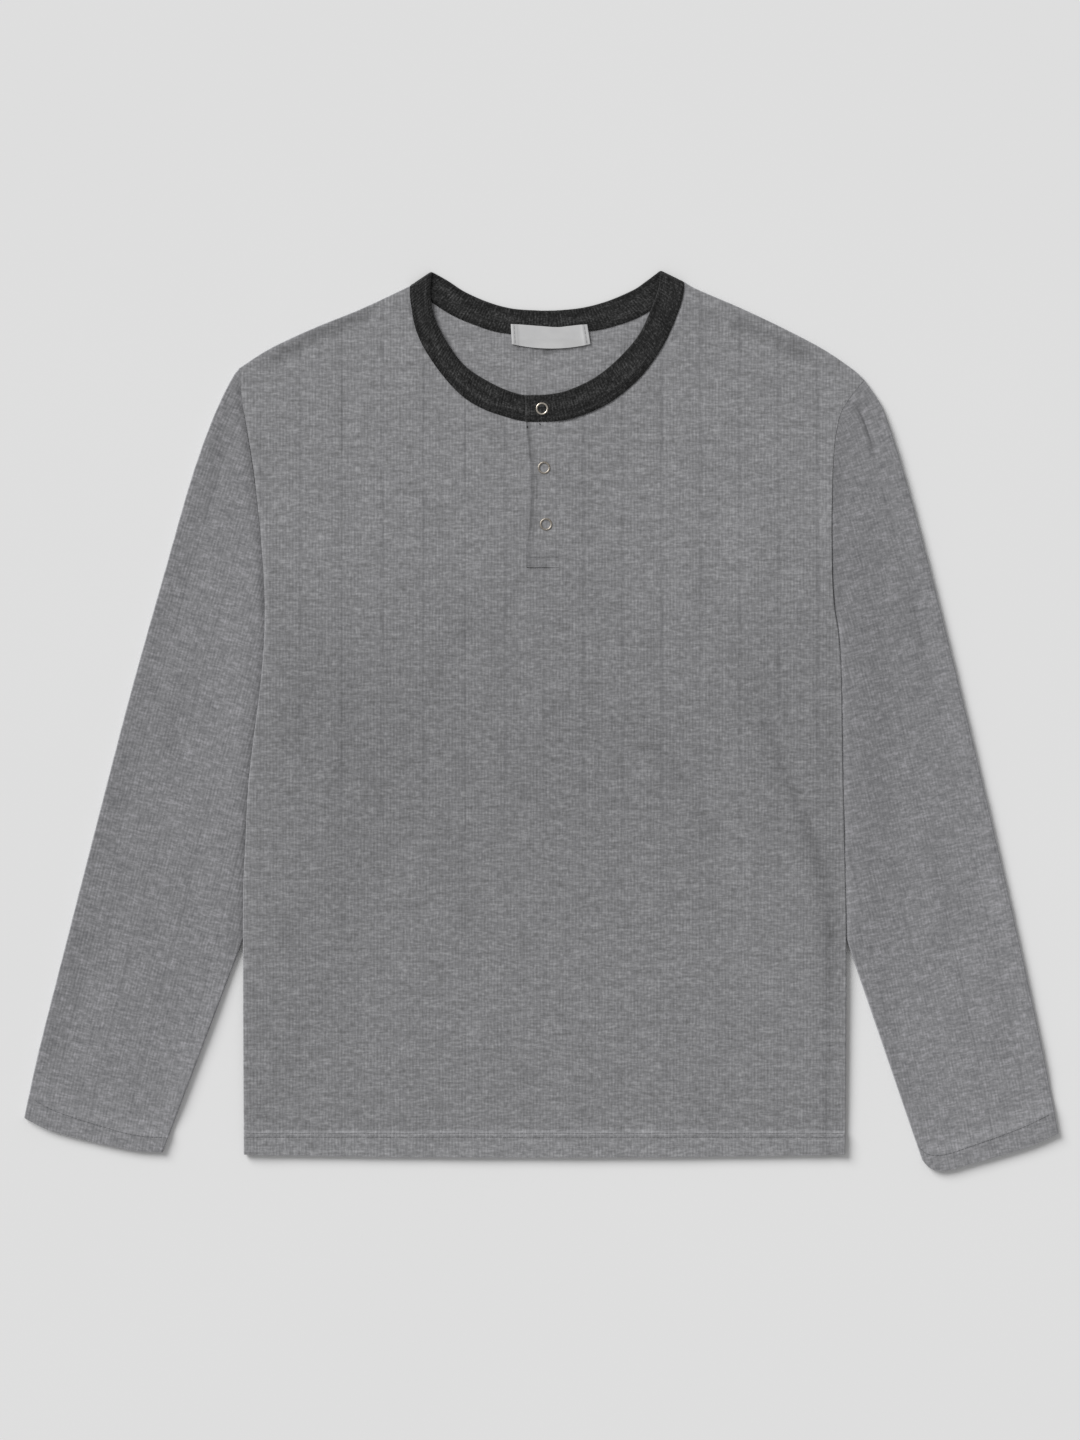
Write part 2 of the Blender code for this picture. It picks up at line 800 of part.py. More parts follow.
def sleeve_places(widths, underarm):
    """Distances from the outer fold of the top columns, squeezed at the inner edge.

    widths is each row's whole width, and underarm the distance of the underarm point. It gives the
    places (rows x columns), each column's groove depth and kind, and its angle round the fold.
    """
    insets = [FOLD_RADIUS * (1.0 - math.cos(math.radians(angle))) for angle in FOLD_ANGLES]
    kinds = [(place, "fill") for place in (*TIP_FILLS, underarm)]
    for index in range(SLEEVE_NEEDLES):
        centre = FIRST_NEEDLE + NEEDLE_PITCH * index
        kinds.append((centre, "needle"))
        kinds += [(centre + shift, "rim") for shift in (-NEEDLE_HALF_WIDTH, NEEDLE_HALF_WIDTH)]
        if index < SLEEVE_NEEDLES - 1:
            kinds.append((centre + NEEDLE_PITCH / 2.0, "fill"))
    kinds.sort()
    places = [np.full_like(widths, inset) for inset in insets]
    depths = [np.zeros_like(widths) for _ in insets]
    for index, (place, kind) in enumerate(kinds):
        limit = widths - FOLD_RADIUS - SQUEEZE * (len(kinds) - index)
        places.append(np.minimum(place, limit))
        clear = step(0.0, 3.0, limit - place)
        depths.append(NEEDLE_DEPTH * clear * (kind == "needle"))
    places += [widths - inset for inset in reversed(insets)]
    depths += [np.zeros_like(widths) for _ in insets]
    names = ["edge"] * 3 + [kind for _, kind in kinds] + ["edge"] * 3
    angles = [*FOLD_ANGLES, *[90.0] * len(kinds), *reversed(FOLD_ANGLES)]
    return np.stack(places, 1), np.stack(depths, 1), names, np.radians(angles)


def sleeve(half, panel_outer, collection):
    """A flattened tube from the armhole to the open cuff."""
    rows, shares, fold = sleeve_rows(half, panel_outer)
    run_in, run_out = fold[0] - fold[1], fold[-1] - fold[-2]
    before = fold[0] + FOLD_RUN_ON * run_in / np.linalg.norm(run_in)
    after = fold[-1] + FOLD_RUN_ON * run_out / np.linalg.norm(run_out)
    long_fold = along(np.vstack([before, fold, after]), np.linspace(0.0, 1.0, DENSE_ALONG))
    distances = [np.maximum.accumulate(nearest(long_fold, row[:, 0], row[:, 1])) for row in rows]
    widths = np.array([distance[-1] for distance in distances])
    corner = armhole(half, panel_outer)[-2]
    underarm = float(nearest(long_fold, corner[:1], corner[1:])[0])
    places, depths, names, angles = sleeve_places(widths, underarm)
    plan = np.stack(
        [
            np.stack([np.interp(place, distance, row[:, axis]) for axis in (0, 1)], -1)
            for place, distance, row in zip(places, distances, rows)
        ]
    )
    towards = plan[:, -1] - plan[:, 0]
    towards = towards / np.linalg.norm(towards, axis=1)[:, None]
    inwards = np.where(np.arange(len(names)) < len(names) / 2, 1.0, -1.0)

    to_cuff = (1.0 - shares) * lengths(fold)[-1]
    wall = HEM_WALL + (WALL - HEM_WALL) * step(HEM_DEPTH - 0.5, HEM_DEPTH + 2.5, to_cuff)
    behind_cuff = step(HEM_DEPTH, HEM_DEPTH + SLEEVE_EASE, to_cuff)
    thick = CUFF_THICK + (SLEEVE_THICK - CUFF_THICK) * behind_cuff
    clear_of_body = step(0.64, 0.78, shares)[:, None]
    swell = bump(places, PUFF_REACH) + bump(widths[:, None] - places, PUFF_REACH) * clear_of_body
    swell *= SLEEVE_PUFF * step(HEM_DEPTH, FOLD_RUN_ON, to_cuff)[:, None]
    half_thick = (thick[:, None] + swell) / 2.0
    rise, level = np.sin(angles)[None, :], np.cos(angles)[None, :]
    shift = (wall[:, None] * level * inwards[None, :])[..., None] * towards[:, None, :]
    top_z = half_thick * (1.0 + rise)
    bottom_z = half_thick * (1.0 - rise)
    wall_z = wall[:, None] * rise

    def points(xy, z):
        return np.concatenate([xy, z[..., None]], -1)

    outer_top, inner_top = points(plan, top_z - depths), points(plan + shift, top_z - wall_z)
    outer_low, inner_low = points(plan, bottom_z), points(plan + shift, bottom_z + wall_z)
    below = [index for index in range(len(names) - 2, 0, -1) if names[index] != "rim"]
    outer = np.concatenate([outer_top, outer_low[:, below]], 1)
    inner = np.concatenate([inner_top, inner_low[:, below]], 1)
    coarse = [index for index, name in enumerate(names) if name != "rim"]
    coarse += list(range(len(names), len(names) + len(below)))
    tube = wall_mesh(outer, inner, coarse, wrap=True)
    make_object(f"sleeve_{half.name}", tube, "rib_jersey", collection)


# ---------------------------------------------------------------- neckband


def trimmed(half, seam_rows, stop_x, x_values):
    """The neck seam from its corner, through the panel's own columns, to where a band end stops."""
    curve = curve_of(half, seam_rows)
    run = lengths(curve)
    out_curve = half.sign * curve[:, 0]
    stop = np.interp(-half.sign * stop_x, -out_curve, run)
    marks = [mark for mark in x_values if mark < stop - 4.0]
    return along(curve, np.array([*marks, stop]) / run[-1])


def column_marks(half, columns, seam_rows):
    """Distances along the neck seam at which the panel's columns end."""
    curve = curve_of(half, seam_rows)
    run = lengths(curve)
    marks = []
    for column in columns:
        ends_on_seam = not column.on_shoulder and column.top[0] * half.sign > 0
        if ends_on_seam and column.inner:
            gaps = np.hypot(curve[:, 0] - column.top[0], curve[:, 1] - column.top[1])
            marks.append(float(run[gaps.argmin()]))
    return [0.0, *sorted(marks)]


def band_height(half):
    """Height of the front band's middle, as a function of X."""
    middle = BAND_THICK / 2.0
    if half.sign > 0:
        return lambda x: middle + UPPER_END_BOTTOM - UPPER_END_DROP * step(20.0, 70.0, x)
    return lambda x: middle + LOWER_END_BOTTOM + LOWER_END_RISE * step(14.0, 58.0, -x)


def front_run(half, columns):
    """Stations of the front band from the shoulder's peak to its free end."""
    marks = column_marks(half, columns, half.neck_front)
    stop_x = BAND_LAP_LEFT if half.sign > 0 else BAND_LAP_RIGHT
    seam = trimmed(half, half.neck_front, stop_x, marks)
    free = curve_of(half, half.band_front)
    free_run = lengths(free)
    end_share = np.interp(-half.sign * stop_x, -half.sign * free[:, 0], free_run) / free_run[-1]
    run = lengths(seam)
    free_points = along(free, run / run[-1] * end_share)
    return seam, free_points, band_height(half)(seam[:, 0])


def back_run(half, columns):
    """Stations of the back band from the shoulder's peak to the middle."""
    marks = column_marks(half, columns, half.neck_back)
    seam = trimmed(half, half.neck_back, 0.0, marks)
    run = lengths(seam)
    free_points = along(curve_of(half, half.band_back), run / run[-1])
    return seam, free_points, np.full(len(seam), BAND_THICK / 2.0)


def seam_gap(seam, free):
    """The band's seam edge, kept clear of the panel and a little more so at the peak."""
    across = free - seam
    gaps = np.full((len(seam), 1), BAND_GAP)
    gaps[0] = 2.0 * BAND_GAP
    return seam + gaps * across / np.linalg.norm(across, axis=1)[:, None]


def band_rings(seam, free, heights, normals):
    """Cross-sections of the band."""
    rings = []
    for start, end, height, normal in zip(seam, free, heights, normals):
        seam_point = np.array([*start, height])
        across = np.array([*end, height]) - seam_point
        up = np.array(normal) * BAND_THICK
        rings.append([seam_point + across * share + up * level for share, level in BAND_SECTION])
    return rings


def half_band(half, front_columns, back_columns):
    """Rings of one half of the band: from its free end, over the peak, to the back's middle."""
    front_seam, front_free, front_heights = front_run(half, front_columns)
    back_seam, back_free, back_heights = back_run(half, back_columns)
    radius = (front_heights[0] - back_heights[0]) / 2.0
    line = front_free[0] - front_seam[0]
    line = line / np.linalg.norm(line)
    outwards = np.array([-line[1], line[0]])
    outwards = outwards * np.sign(outwards[1])
    inset = radius + BAND_THICK / 2.0
    for points in (front_seam, front_free, back_seam, back_free):
        run = points[1] - points[0]
        points[0] = points[0] + run * inset / abs(run @ outwards)
    front_seam = seam_gap(front_seam, front_free)
    back_seam = seam_gap(back_seam, back_free)
    ups, downs = [(0.0, 0.0, 1.0)] * len(front_seam), [(0.0, 0.0, -1.0)] * len(back_seam)
    rings = band_rings(front_seam[::-1], front_free[::-1], front_heights[::-1], ups)
    axis_height = (front_heights[0] + back_heights[0]) / 2.0
    for index in range(1, BAND_FOLD_STEPS):
        share = index / BAND_FOLD_STEPS
        reach, rise = math.sin(math.pi * share), math.cos(math.pi * share)
        start = front_seam[0] + (back_seam[0] - front_seam[0]) * share + outwards * radius * reach
        end = front_free[0] + (back_free[0] - front_free[0]) * share + outwards * radius * reach
        normal = (*(outwards * reach), rise)
        rings += band_rings([start], [end], [axis_height + radius * rise], [normal])
    rings += band_rings(back_seam, back_free, back_heights, downs)
    return rings


def neckband(front_columns, back_columns, collection):
    """The whole band, from its lower end round the back to its upper end."""
    under = half_band(WEARERS_RIGHT, front_columns, back_columns)
    over = half_band(WEARERS_LEFT, front_columns, back_columns)
    rings = [*under, *over[::-1][1:]]
    make_object("neckband", loft_mesh([np.array(ring) for ring in rings]), "neck_rib", collection)


# ---------------------------------------------------------------- placket, snaps and label


def slab(name, xy, bottom, thick, finish, collection):
    """A strip of cloth from a grid of plan points, with its underside at the given heights."""
    low = np.broadcast_to(bottom, xy.shape[:2])
    upper = np.concatenate([xy, (low + thick)[..., None]], -1)
    lower = np.concatenate([xy, low[..., None]], -1)
    coarse = list(range(xy.shape[1]))
    make_object(name, wall_mesh(upper, lower, coarse), finish, collection)


def placket_grid(left_x, right_x, rows):
    """Plan points between a left edge, as a function of Y, and a straight right edge."""
    y = np.linspace(PLACKET_FOOT_Y, PLACKET_TOP_Y, rows)
    share = np.linspace(0.0, 1.0, 5)
    left = left_x(y)
    x = left[:, None] + (right_x - left)[:, None] * share[None, :]
    return np.stack([x, y[:, None] + 0.0 * x], -1)


def placket(collection):
    """The upper strip, its edge bowed, over the narrower strip sewn to the other side."""
    edge = spline([(row.y, row.x) for row in PLACKET_EDGE[::-1]])
    upper = placket_grid(lambda y: np.interp(y, edge[:, 0], edge[:, 1]), PLACKET_RIGHT_X, 13)
    slab("placket_upper", upper, UPPER_BOTTOM, PLACKET_THICK, "rib_jersey", collection)
    under = placket_grid(lambda y: np.full_like(y, SLIT[0] + SEAM), SLIT[1] - 2.0 * SEAM, 7)
    slab("placket_under", under, UNDER_BOTTOM, PLACKET_THICK, "rib_jersey", collection)


def snap_mesh():
    """A low open ring with a domed face, as a turned profile."""
    inner = SNAP_RADIUS - SNAP_WALL
    shoulder, brow = 0.4 * SNAP_HEIGHT, 0.88 * SNAP_HEIGHT
    profile = (
        (SNAP_RADIUS, shoulder),
        (SNAP_RADIUS, 0.0),
        (inner, 0.0),
        (inner, shoulder),
        (inner + SNAP_WALL / 4.0, brow),
        (inner + SNAP_WALL / 2.0, SNAP_HEIGHT),
        (SNAP_RADIUS - SNAP_WALL / 4.0, brow),
    )
    mesh = bpy.data.meshes.new("snap_profile")
    points = [(radius * MM, 0.0, height * MM) for radius, height in profile]
    edges = [(index, (index + 1) % len(points)) for index in range(len(points))]
    mesh.from_pydata(points, edges, [])
    return mesh


def snaps(collection):
    """Three rings pressed through the band and the placket, face up."""
    band_top = BAND_THICK + UPPER_END_BOTTOM
    strip_top = UPPER_BOTTOM + PLACKET_THICK
    for snap in SNAPS:
        mesh = snap_mesh()
        mesh.name = snap.name
        mesh.materials.append(bpy.data.materials["snap_metal"])
        ring = bpy.data.objects.new(snap.name, mesh)
        seat = band_top if snap.y > PLACKET_TOP_Y else strip_top
        ring.location = (snap.x * MM, snap.y * MM, (seat + SEAM) * MM)
        screw = ring.modifiers.new("turn", "SCREW")
        screw.steps = screw.render_steps = 24
        screw.use_merge_vertices = True
        screw.merge_threshold = 0.00001
        collection.objects.link(ring)


def label(collection):
    """A blank woven label, sewn on the back band and hanging over the back panel."""
    share = np.linspace(0.0, 1.0, 7)
    x = LABEL_LEFT + (LABEL_RIGHT - LABEL_LEFT) * share
    foot = LABEL_FOOT_Y - LABEL_BOW * (1.0 - (2.0 * share - 1.0) ** 2)
    down = np.linspace(0.0, 1.0, 6)[:, None]
    y = LABEL_TOP_Y + (foot - LABEL_TOP_Y)[None, :] * down
    xy = np.stack([x[None, :] + 0.0 * y, y], -1)
    on_band, on_panel = BAND_THICK + SEAM, WALL + SEAM
    bottom = on_panel + 0.1 + (on_band - on_panel) * step(*LABEL_STEP, y)
    slab("label", xy[::-1], bottom[::-1], LABEL_THICK, "label_weave", collection)


# ---------------------------------------------------------------- the shirt


def clear_scene():
    """Removes the objects that a new file starts with."""
    for thing in list(bpy.data.objects):
        bpy.data.objects.remove(thing, do_unlink=True)


def make_finishes():
    """One plain material for each finish."""
    for name, (colour, roughness) in FINISHES.items():
        material = bpy.data.materials.new(name)
        material.use_nodes = True
        shader = material.node_tree.nodes["Principled BSDF"]
        shader.inputs["Base Color"].default_value = (*colour, 1.0)
        shader.inputs["Roughness"].default_value = roughness
        shader.inputs["Metallic"].default_value = 1.0 if name == "snap_metal" else 0.0


def main():
    """Builds every piece of the shirt."""
    clear_scene()
    make_finishes()
    collection = bpy.data.collections.new("henley_shirt")
    bpy.context.scene.collection.children.link(collection)
    front_columns, front_outer = body_panel("front", True, collection)
    back_columns, _ = body_panel("back", False, collection)
    for half in HALVES:
        sleeve(half, front_outer, collection)
    neckband(front_columns, back_columns, collection)
    placket(collection)
    snaps(collection)
    label(collection)


if __name__ == "__main__":
    main()
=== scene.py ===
"""Henley shirt of fine rib jersey, laid flat: cloth shells, sewing, snaps, label and finishes.

Lengths in the tables are millimetres and turn to metres when a mesh is made. +X is the wearer's
left, +Y runs from hem to collar and +Z is up from the surface that the shirt lies on. "out" is the
distance from X = 0 towards the side that a table belongs to.
"""

import logging
import math
from dataclasses import dataclass, field
from enum import Enum
from typing import Any, Callable, NamedTuple, Optional, Sequence

import bmesh
import bpy
import numpy as np
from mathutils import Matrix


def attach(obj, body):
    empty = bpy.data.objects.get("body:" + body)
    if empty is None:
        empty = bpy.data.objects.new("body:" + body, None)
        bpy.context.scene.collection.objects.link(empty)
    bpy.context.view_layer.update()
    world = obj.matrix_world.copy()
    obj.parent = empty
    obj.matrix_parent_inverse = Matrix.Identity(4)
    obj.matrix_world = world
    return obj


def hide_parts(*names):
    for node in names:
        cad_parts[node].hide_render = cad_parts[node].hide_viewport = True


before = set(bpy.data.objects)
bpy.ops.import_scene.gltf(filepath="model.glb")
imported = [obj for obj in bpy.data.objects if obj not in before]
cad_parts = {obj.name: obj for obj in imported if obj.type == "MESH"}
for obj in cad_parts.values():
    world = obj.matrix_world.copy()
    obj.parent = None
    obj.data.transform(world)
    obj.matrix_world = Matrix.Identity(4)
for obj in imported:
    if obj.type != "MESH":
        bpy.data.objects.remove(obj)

Array = np.ndarray
Piece = bpy.types.Object
Tree = bpy.types.NodeTree
Socket = bpy.types.NodeSocket
Pair = tuple[float, float]
Numbers = tuple[float, ...]

log = logging.getLogger("henley_shirt")

MM = 0.001
UV_NAME = "cloth"  # across the ribs, along the ribs, in metres
GROOVE = "groove"  # 1 in a dropped-needle line or under stitches, where painted shade darkens the groove
SHADE = "shade"  # painted shade, 0 to 1: in hollows, in shadows cast beside edges and where less light falls

# Cloth.
WALL = 1.2
HEM_WALL = 2.2
HEM_DEPTH = 17
HEM_WAVES = 9  # how far waves reach from hem stitches
SEAM = 0.3
FOLD_RADIUS = 1
FOLD_ANGLES = (0, 20, 40, 60, 76, 90)
PUFF_REACH = 12
GROOVE_STEPS = (2.8, 1.4, 0, -1.4, -2.8)  # columns beside a dropped needle
STITCH_STEPS = (-1.8, -0.6, 0.6, 1.8, 3.4)  # rows beside a line of hem stitches
TROUGH_SHADE = 0.4  # how much painted shade a trough of 1 mm gets

# Body.
HEM_CORNER_Y = -346.8
HEM_DROP = 2.4
CHEST_Y = 122.5
SLIT = (-4, 13.8)
CENTRE_NEEDLE = 2.8
TUCK_END_Y = -168  # where the sleeves come clear of the body

# Neckband.
BAND_THICK = 2.2
UPPER_END_BOTTOM = 3.95
UPPER_END_RUN = (20, 70)  # X over which the upper end comes down

# Placket.
PLACKET_TOP_Y = 237.8
PLACKET_FOOT_Y = 122.8
PLACKET_THICK = 1.5
UNDER_BOTTOM = 1.6
UPPER_BOTTOM = 3.55


class Slot(str, Enum):
    """Material slots of the record."""

    JERSEY = "rib_jersey"
    NECK = "neck_rib"
    METAL = "snap_metal"
    LABEL = "label_weave"


class Layer(Enum):
    """Which panel of the body is meant."""

    FRONT = "front"
    BACK = "back"


def rows(kind: Callable[..., Any], *values: Pair) -> tuple[Any, ...]:
    """Makes the rows of a table."""
    return tuple(kind(*value) for value in values)


class Side(NamedTuple):
    """A row of the body's side: how far out it is at a height."""

    y: float
    out: float


class Point(NamedTuple):
    """A row of an outline."""

    out: float
    y: float


class Spot(NamedTuple):
    """A place on the plan."""

    x: float
    y: float


# -------- curves


def spline(points: Sequence[Sequence[float]], per_span: int = 12) -> Array:
    """Makes a smooth curve through points.

    Args:
        points: rows of two or three coordinates.
        per_span: dense points for each gap between rows.

    Returns:
        Dense points of a Catmull-Rom curve.
    """
    given = np.asarray(points, float)
    padded = np.vstack([2 * given[0] - given[1], given, 2 * given[-1] - given[-2]])
    t = np.linspace(0, 1, per_span, endpoint=False)[:, None]
    spans = []
    for a, b, c, d in zip(padded, padded[1:], padded[2:], padded[3:]):
        cubic = 3 * b - a - 3 * c + d
        square = 2 * a - 5 * b + 4 * c - d
        spans.append(b + 0.5 * ((c - a) * t + square * t**2 + cubic * t**3))
    return np.vstack([*spans, given[-1]])


def lengths(curve: Array) -> Array:
    """Distance along a curve of each of its points."""
    steps = np.linalg.norm(np.diff(curve, axis=0), axis=1)
    return np.concatenate([[0], np.cumsum(steps)])


def along(curve: Array, shares: Sequence[float]) -> Array:
    """Finds places along a curve.

    Args:
        curve: its points.
        shares: shares of its length.

    Returns:
        A point at each share.
    """
    run = lengths(curve)
    places = np.asarray(shares) * run[-1]
    return np.stack([np.interp(places, run, curve[:, axis]) for axis in range(curve.shape[1])], -1)


def nearest(curve: Array, x: Array, y: Array, batch: int = 8000) -> tuple[Array, Array]:
    """Measures points against a curve.

    Args:
        curve: dense points of the curve on the plan.
        x: places to measure.
        y: places to measure.
        batch: places measured at a time.

    Returns:
        Each place's distance from the curve, and the share of its length that it faces.
    """
    flat_x, flat_y = np.ravel(x), np.ravel(y)
    share = lengths(curve) / lengths(curve)[-1]
    gaps, shares = np.empty_like(flat_x), np.empty_like(flat_x)
    for start in range(0, len(flat_x), batch):
        part = slice(start, start + batch)
        away = np.hypot(
            flat_x[part, None] - curve[None, :, 0], flat_y[part, None] - curve[None, :, 1]
        )
        closest = away.argmin(axis=1)
        gaps[part] = away[np.arange(len(closest)), closest]
        shares[part] = share[closest]
    return gaps.reshape(np.shape(x)), shares.reshape(np.shape(x))


def step(low: float, high: float, value: Any) -> Array:
    """0 below low, 1 above high, and a smooth rise between them."""
    share = np.clip((np.asarray(value, float) - low) / (high - low), 0, 1)
    return share * share * (3 - 2 * share)


def bump(distance: Any, reach: float) -> Array:
    """A soft hill of height 1 that fades out at about twice its reach."""
    return np.exp(-((np.asarray(distance, float) / reach) ** 2))


class Hill(NamedTuple):
    """A soft rise or fall across a line of cloth: its height, its place and its reach."""

    height: float
    place: float
    reach: float

    def at(self, distance: Array) -> Array:
        """Its height at each distance from the line."""
        return self.height * bump(distance - self.place, self.reach)


def ripple(x: Array, y: Array, wavelength: float, seed: int) -> Array:
    """Uneven swells of a given size, from a few crossing waves.

    Args:
        x, y: places on the plan.
        wavelength: usual distance from swell to swell.
        seed: picks the waves.

    Returns:
        Heights from about -1 to 1.
    """
    waves = 7
    rng = np.random.default_rng(seed)
    total = np.zeros(np.broadcast(x, y).shape)
    for _ in range(waves):
        angle, phase = rng.uniform(0, math.pi), rng.uniform(0, 2 * math.pi)
        stretch = rng.uniform(0.7, 1.5) * 2 * math.pi / wavelength
        total += np.sin(stretch * (x * math.cos(angle) + y * math.sin(angle)) + phase)
    return total / (waves / 2)


# -------- outline


@dataclass(frozen=True)
class Half:
    """Outline of one half of the laid shirt; rows run from hem to collar or from collar to cuff."""

    name: str
    sign: int
    underarm_y: float
    needles: Numbers  # dropped needles, the outermost first
    side: tuple[Side, ...]
    shoulder: tuple[Point, ...]
    neck_front: tuple[Point, ...]
    neck_back: tuple[Point, ...]
    band_front: tuple[Point, ...]
    band_back: tuple[Point, ...]
    sleeve_fold: tuple[Point, ...]
    cuff: tuple[Point, ...]
    tuck: Point  # upper end of the sleeve's hidden edge

    def curve(self, rows: Sequence[Point]) -> Array:
        """Smooth curve through a table's rows, in X and Y."""
        return spline([(self.sign * row.out, row.y) for row in rows])

    def side_out(self, y: Any) -> Array:
        """How far out the body's edge is at a height."""
        curve = spline(self.side)
        return np.interp(y, curve[:, 0], curve[:, 1])

    def inside(self, x: Array, y: Array) -> Array:
        """How far in from the body's edge each place is, and 0 outside it."""
        return np.maximum(self.side_out(y) - self.sign * x, 0)

    def top_y(self, rows: Sequence[Point], out: Any) -> Array:
        """Height of the curve through rows that run inwards, at a distance out."""
        curve = spline(rows)[::-1]
        return np.interp(out, curve[:, 0], curve[:, 1])


RIGHT = Half(
    name="right",
    sign=-1,
    underarm_y=79,
    needles=(192.4, 159.6, 126.8, 94, 61.2, 28.4),
    side=rows(
        Side, (-349, 238), (-260, 238.4), (-175, 238.6), (-130, 238.2), (-93, 236.4), (-56, 234.6),
        (-20, 230.8), (17, 226), (50, 222.6), (79, 221.2), (115, 222.2), (155, 225.4), (195, 229.8),
        (230, 235.2), (258, 239.8), (282, 241.4),
    ),
    shoulder=rows(
        Point, (241.4, 282), (217.2, 297.4), (183.6, 313.2), (146, 328.4), (111.6, 344.4),
        (105.2, 347.6),
    ),
    neck_front=rows(
        Point, (105.2, 347.6), (104.8, 335.6), (100.4, 312.4), (90.8, 292.4), (75.6, 271.6),
        (61.2, 257.6), (46.8, 249.2), (32.4, 244), (13.2, 239.2), (-14, 238.2),
    ),
    neck_back=rows(
        Point, (105.2, 347.6), (88.4, 334.8), (70.8, 323.6), (51.6, 315.6), (32.4, 310), (0, 307.4),
    ),
    band_front=rows(
        Point, (87.6, 358.8), (88.8, 346), (88.2, 334.8), (84.4, 319.6), (74.8, 301.2),
        (61.2, 283.6), (42, 270.8), (22.8, 262.4), (6.4, 259.6), (-14, 260.6),
    ),
    band_back=rows(
        Point, (87.6, 358.8), (74.8, 351.6), (61.2, 342.8), (42, 334.4), (22.8, 329.4), (0, 327.8),
    ),
    sleeve_fold=rows(
        Point, (241.4, 282), (248.4, 272), (263.2, 240.4), (280.2, 192.4), (300.8, 120.4),
        (327.8, 24.4), (352.8, -71.6), (377.4, -167.6), (401.8, -263.6), (413.6, -317.6),
    ),
    cuff=rows(
        Point, (413.6, -317.6), (393.2, -327.6), (362.8, -335.8), (327.6, -343.2), (302.8, -345.2),
    ),
    tuck=Point(148, 64.4),
)

LEFT = Half(
    name="left",
    sign=1,
    underarm_y=90.8,
    needles=(221.2, 190, 158.8, 127.6, 96.4, 65.2, 34),
    side=rows(
        Side, (-349, 242.8), (-260, 243.4), (-174, 243.6), (-117, 242.4), (-31.6, 240.6),
        (39.6, 239.4), (70.8, 237.2), (90.8, 234), (115.6, 232.2), (156.4, 231.8), (195, 232.6),
        (220.4, 234.2), (234.8, 236.4), (246, 239.4), (257.2, 246), (265, 252), (272.4, 258),
    ),
    shoulder=rows(
        Point, (258, 272.4), (248.4, 281.2), (224.4, 297.4), (194, 313.4), (161.2, 329),
        (123.6, 345.2), (114, 350.8),
    ),
    neck_front=rows(
        Point, (114, 350.8), (113.2, 340.4), (109, 326), (98, 301.2), (82.8, 278.8), (69.2, 265.2),
        (53.2, 253.4), (34, 244.6), (14.8, 239.6), (-14, 238.6),
    ),
    neck_back=rows(
        Point, (114, 350.8), (101, 337.6), (86.8, 327.6), (73.2, 320.4), (53.2, 314), (34, 310.6),
        (0, 307.4),
    ),
    band_front=rows(
        Point, (94.8, 359.6), (93.6, 346), (87, 327.6), (77.2, 307.6), (61.2, 289.2), (43.6, 274.8),
        (24.4, 265.2), (8, 261), (-14, 260),
    ),
    band_back=rows(
        Point, (94.8, 359.6), (82.8, 350.6), (73.2, 344.2), (53.2, 335.6), (34, 330.4),
        (14.8, 328.2), (0, 327.8),
    ),
    sleeve_fold=rows(
        Point, (258, 272.4), (269, 256.4), (276.2, 240.4), (291.2, 192.4), (310.6, 120.4),
        (334.6, 24.4), (357.6, -71.6), (379.6, -167.6), (400.4, -263.6), (413.2, -330),
    ),
    cuff=rows(
        Point, (413.2, -330), (393.2, -339.2), (368, -347.4), (342.8, -354.4), (324, -359.6),
        (312, -358.6), (304.4, -351.6),
    ),
    tuck=Point(161.6, 64.4),
)

HALVES = (RIGHT, LEFT)
ARMHOLE_NEEDLE = -224.8  # beside the armhole on the wearer's right
BODY_NEEDLES = (CENTRE_NEEDLE, ARMHOLE_NEEDLE, *(-out for out in RIGHT.needles), *LEFT.needles)


# -------- creases


@dataclass(frozen=True)
class Crease:
    """A soft trough (height below 0) or ridge of laid cloth, along a smooth line on the plan."""

    line: tuple[Pair, ...]  # X and Y
    height: float
    width: float
    fade_in: float = 0.3
    fade_out: float = 0.3

    def at(self, x: Array, y: Array) -> Array:
        """Measures the crease.

        Args:
            x, y: places on the plan.

        Returns:
            How much it moves the cloth up at each place.
        """
        away, share = nearest(spline(self.line, 10), x, y)
        ends = step(0, self.fade_in, share) * (1 - step(1 - self.fade_out, 1, share))
        return self.height * ends * bump(away, self.width)


@dataclass(frozen=True)
class Waves:
    """Uneven low waves all over a piece."""

    height: float
    wavelength: float
    seed: int

    def at(self, x: Array, y: Array, share: Any = 1) -> Array:
        """How much they move the cloth up at each place, at a share of their height."""
        return self.height * share * ripple(x, y, self.wavelength, self.seed)


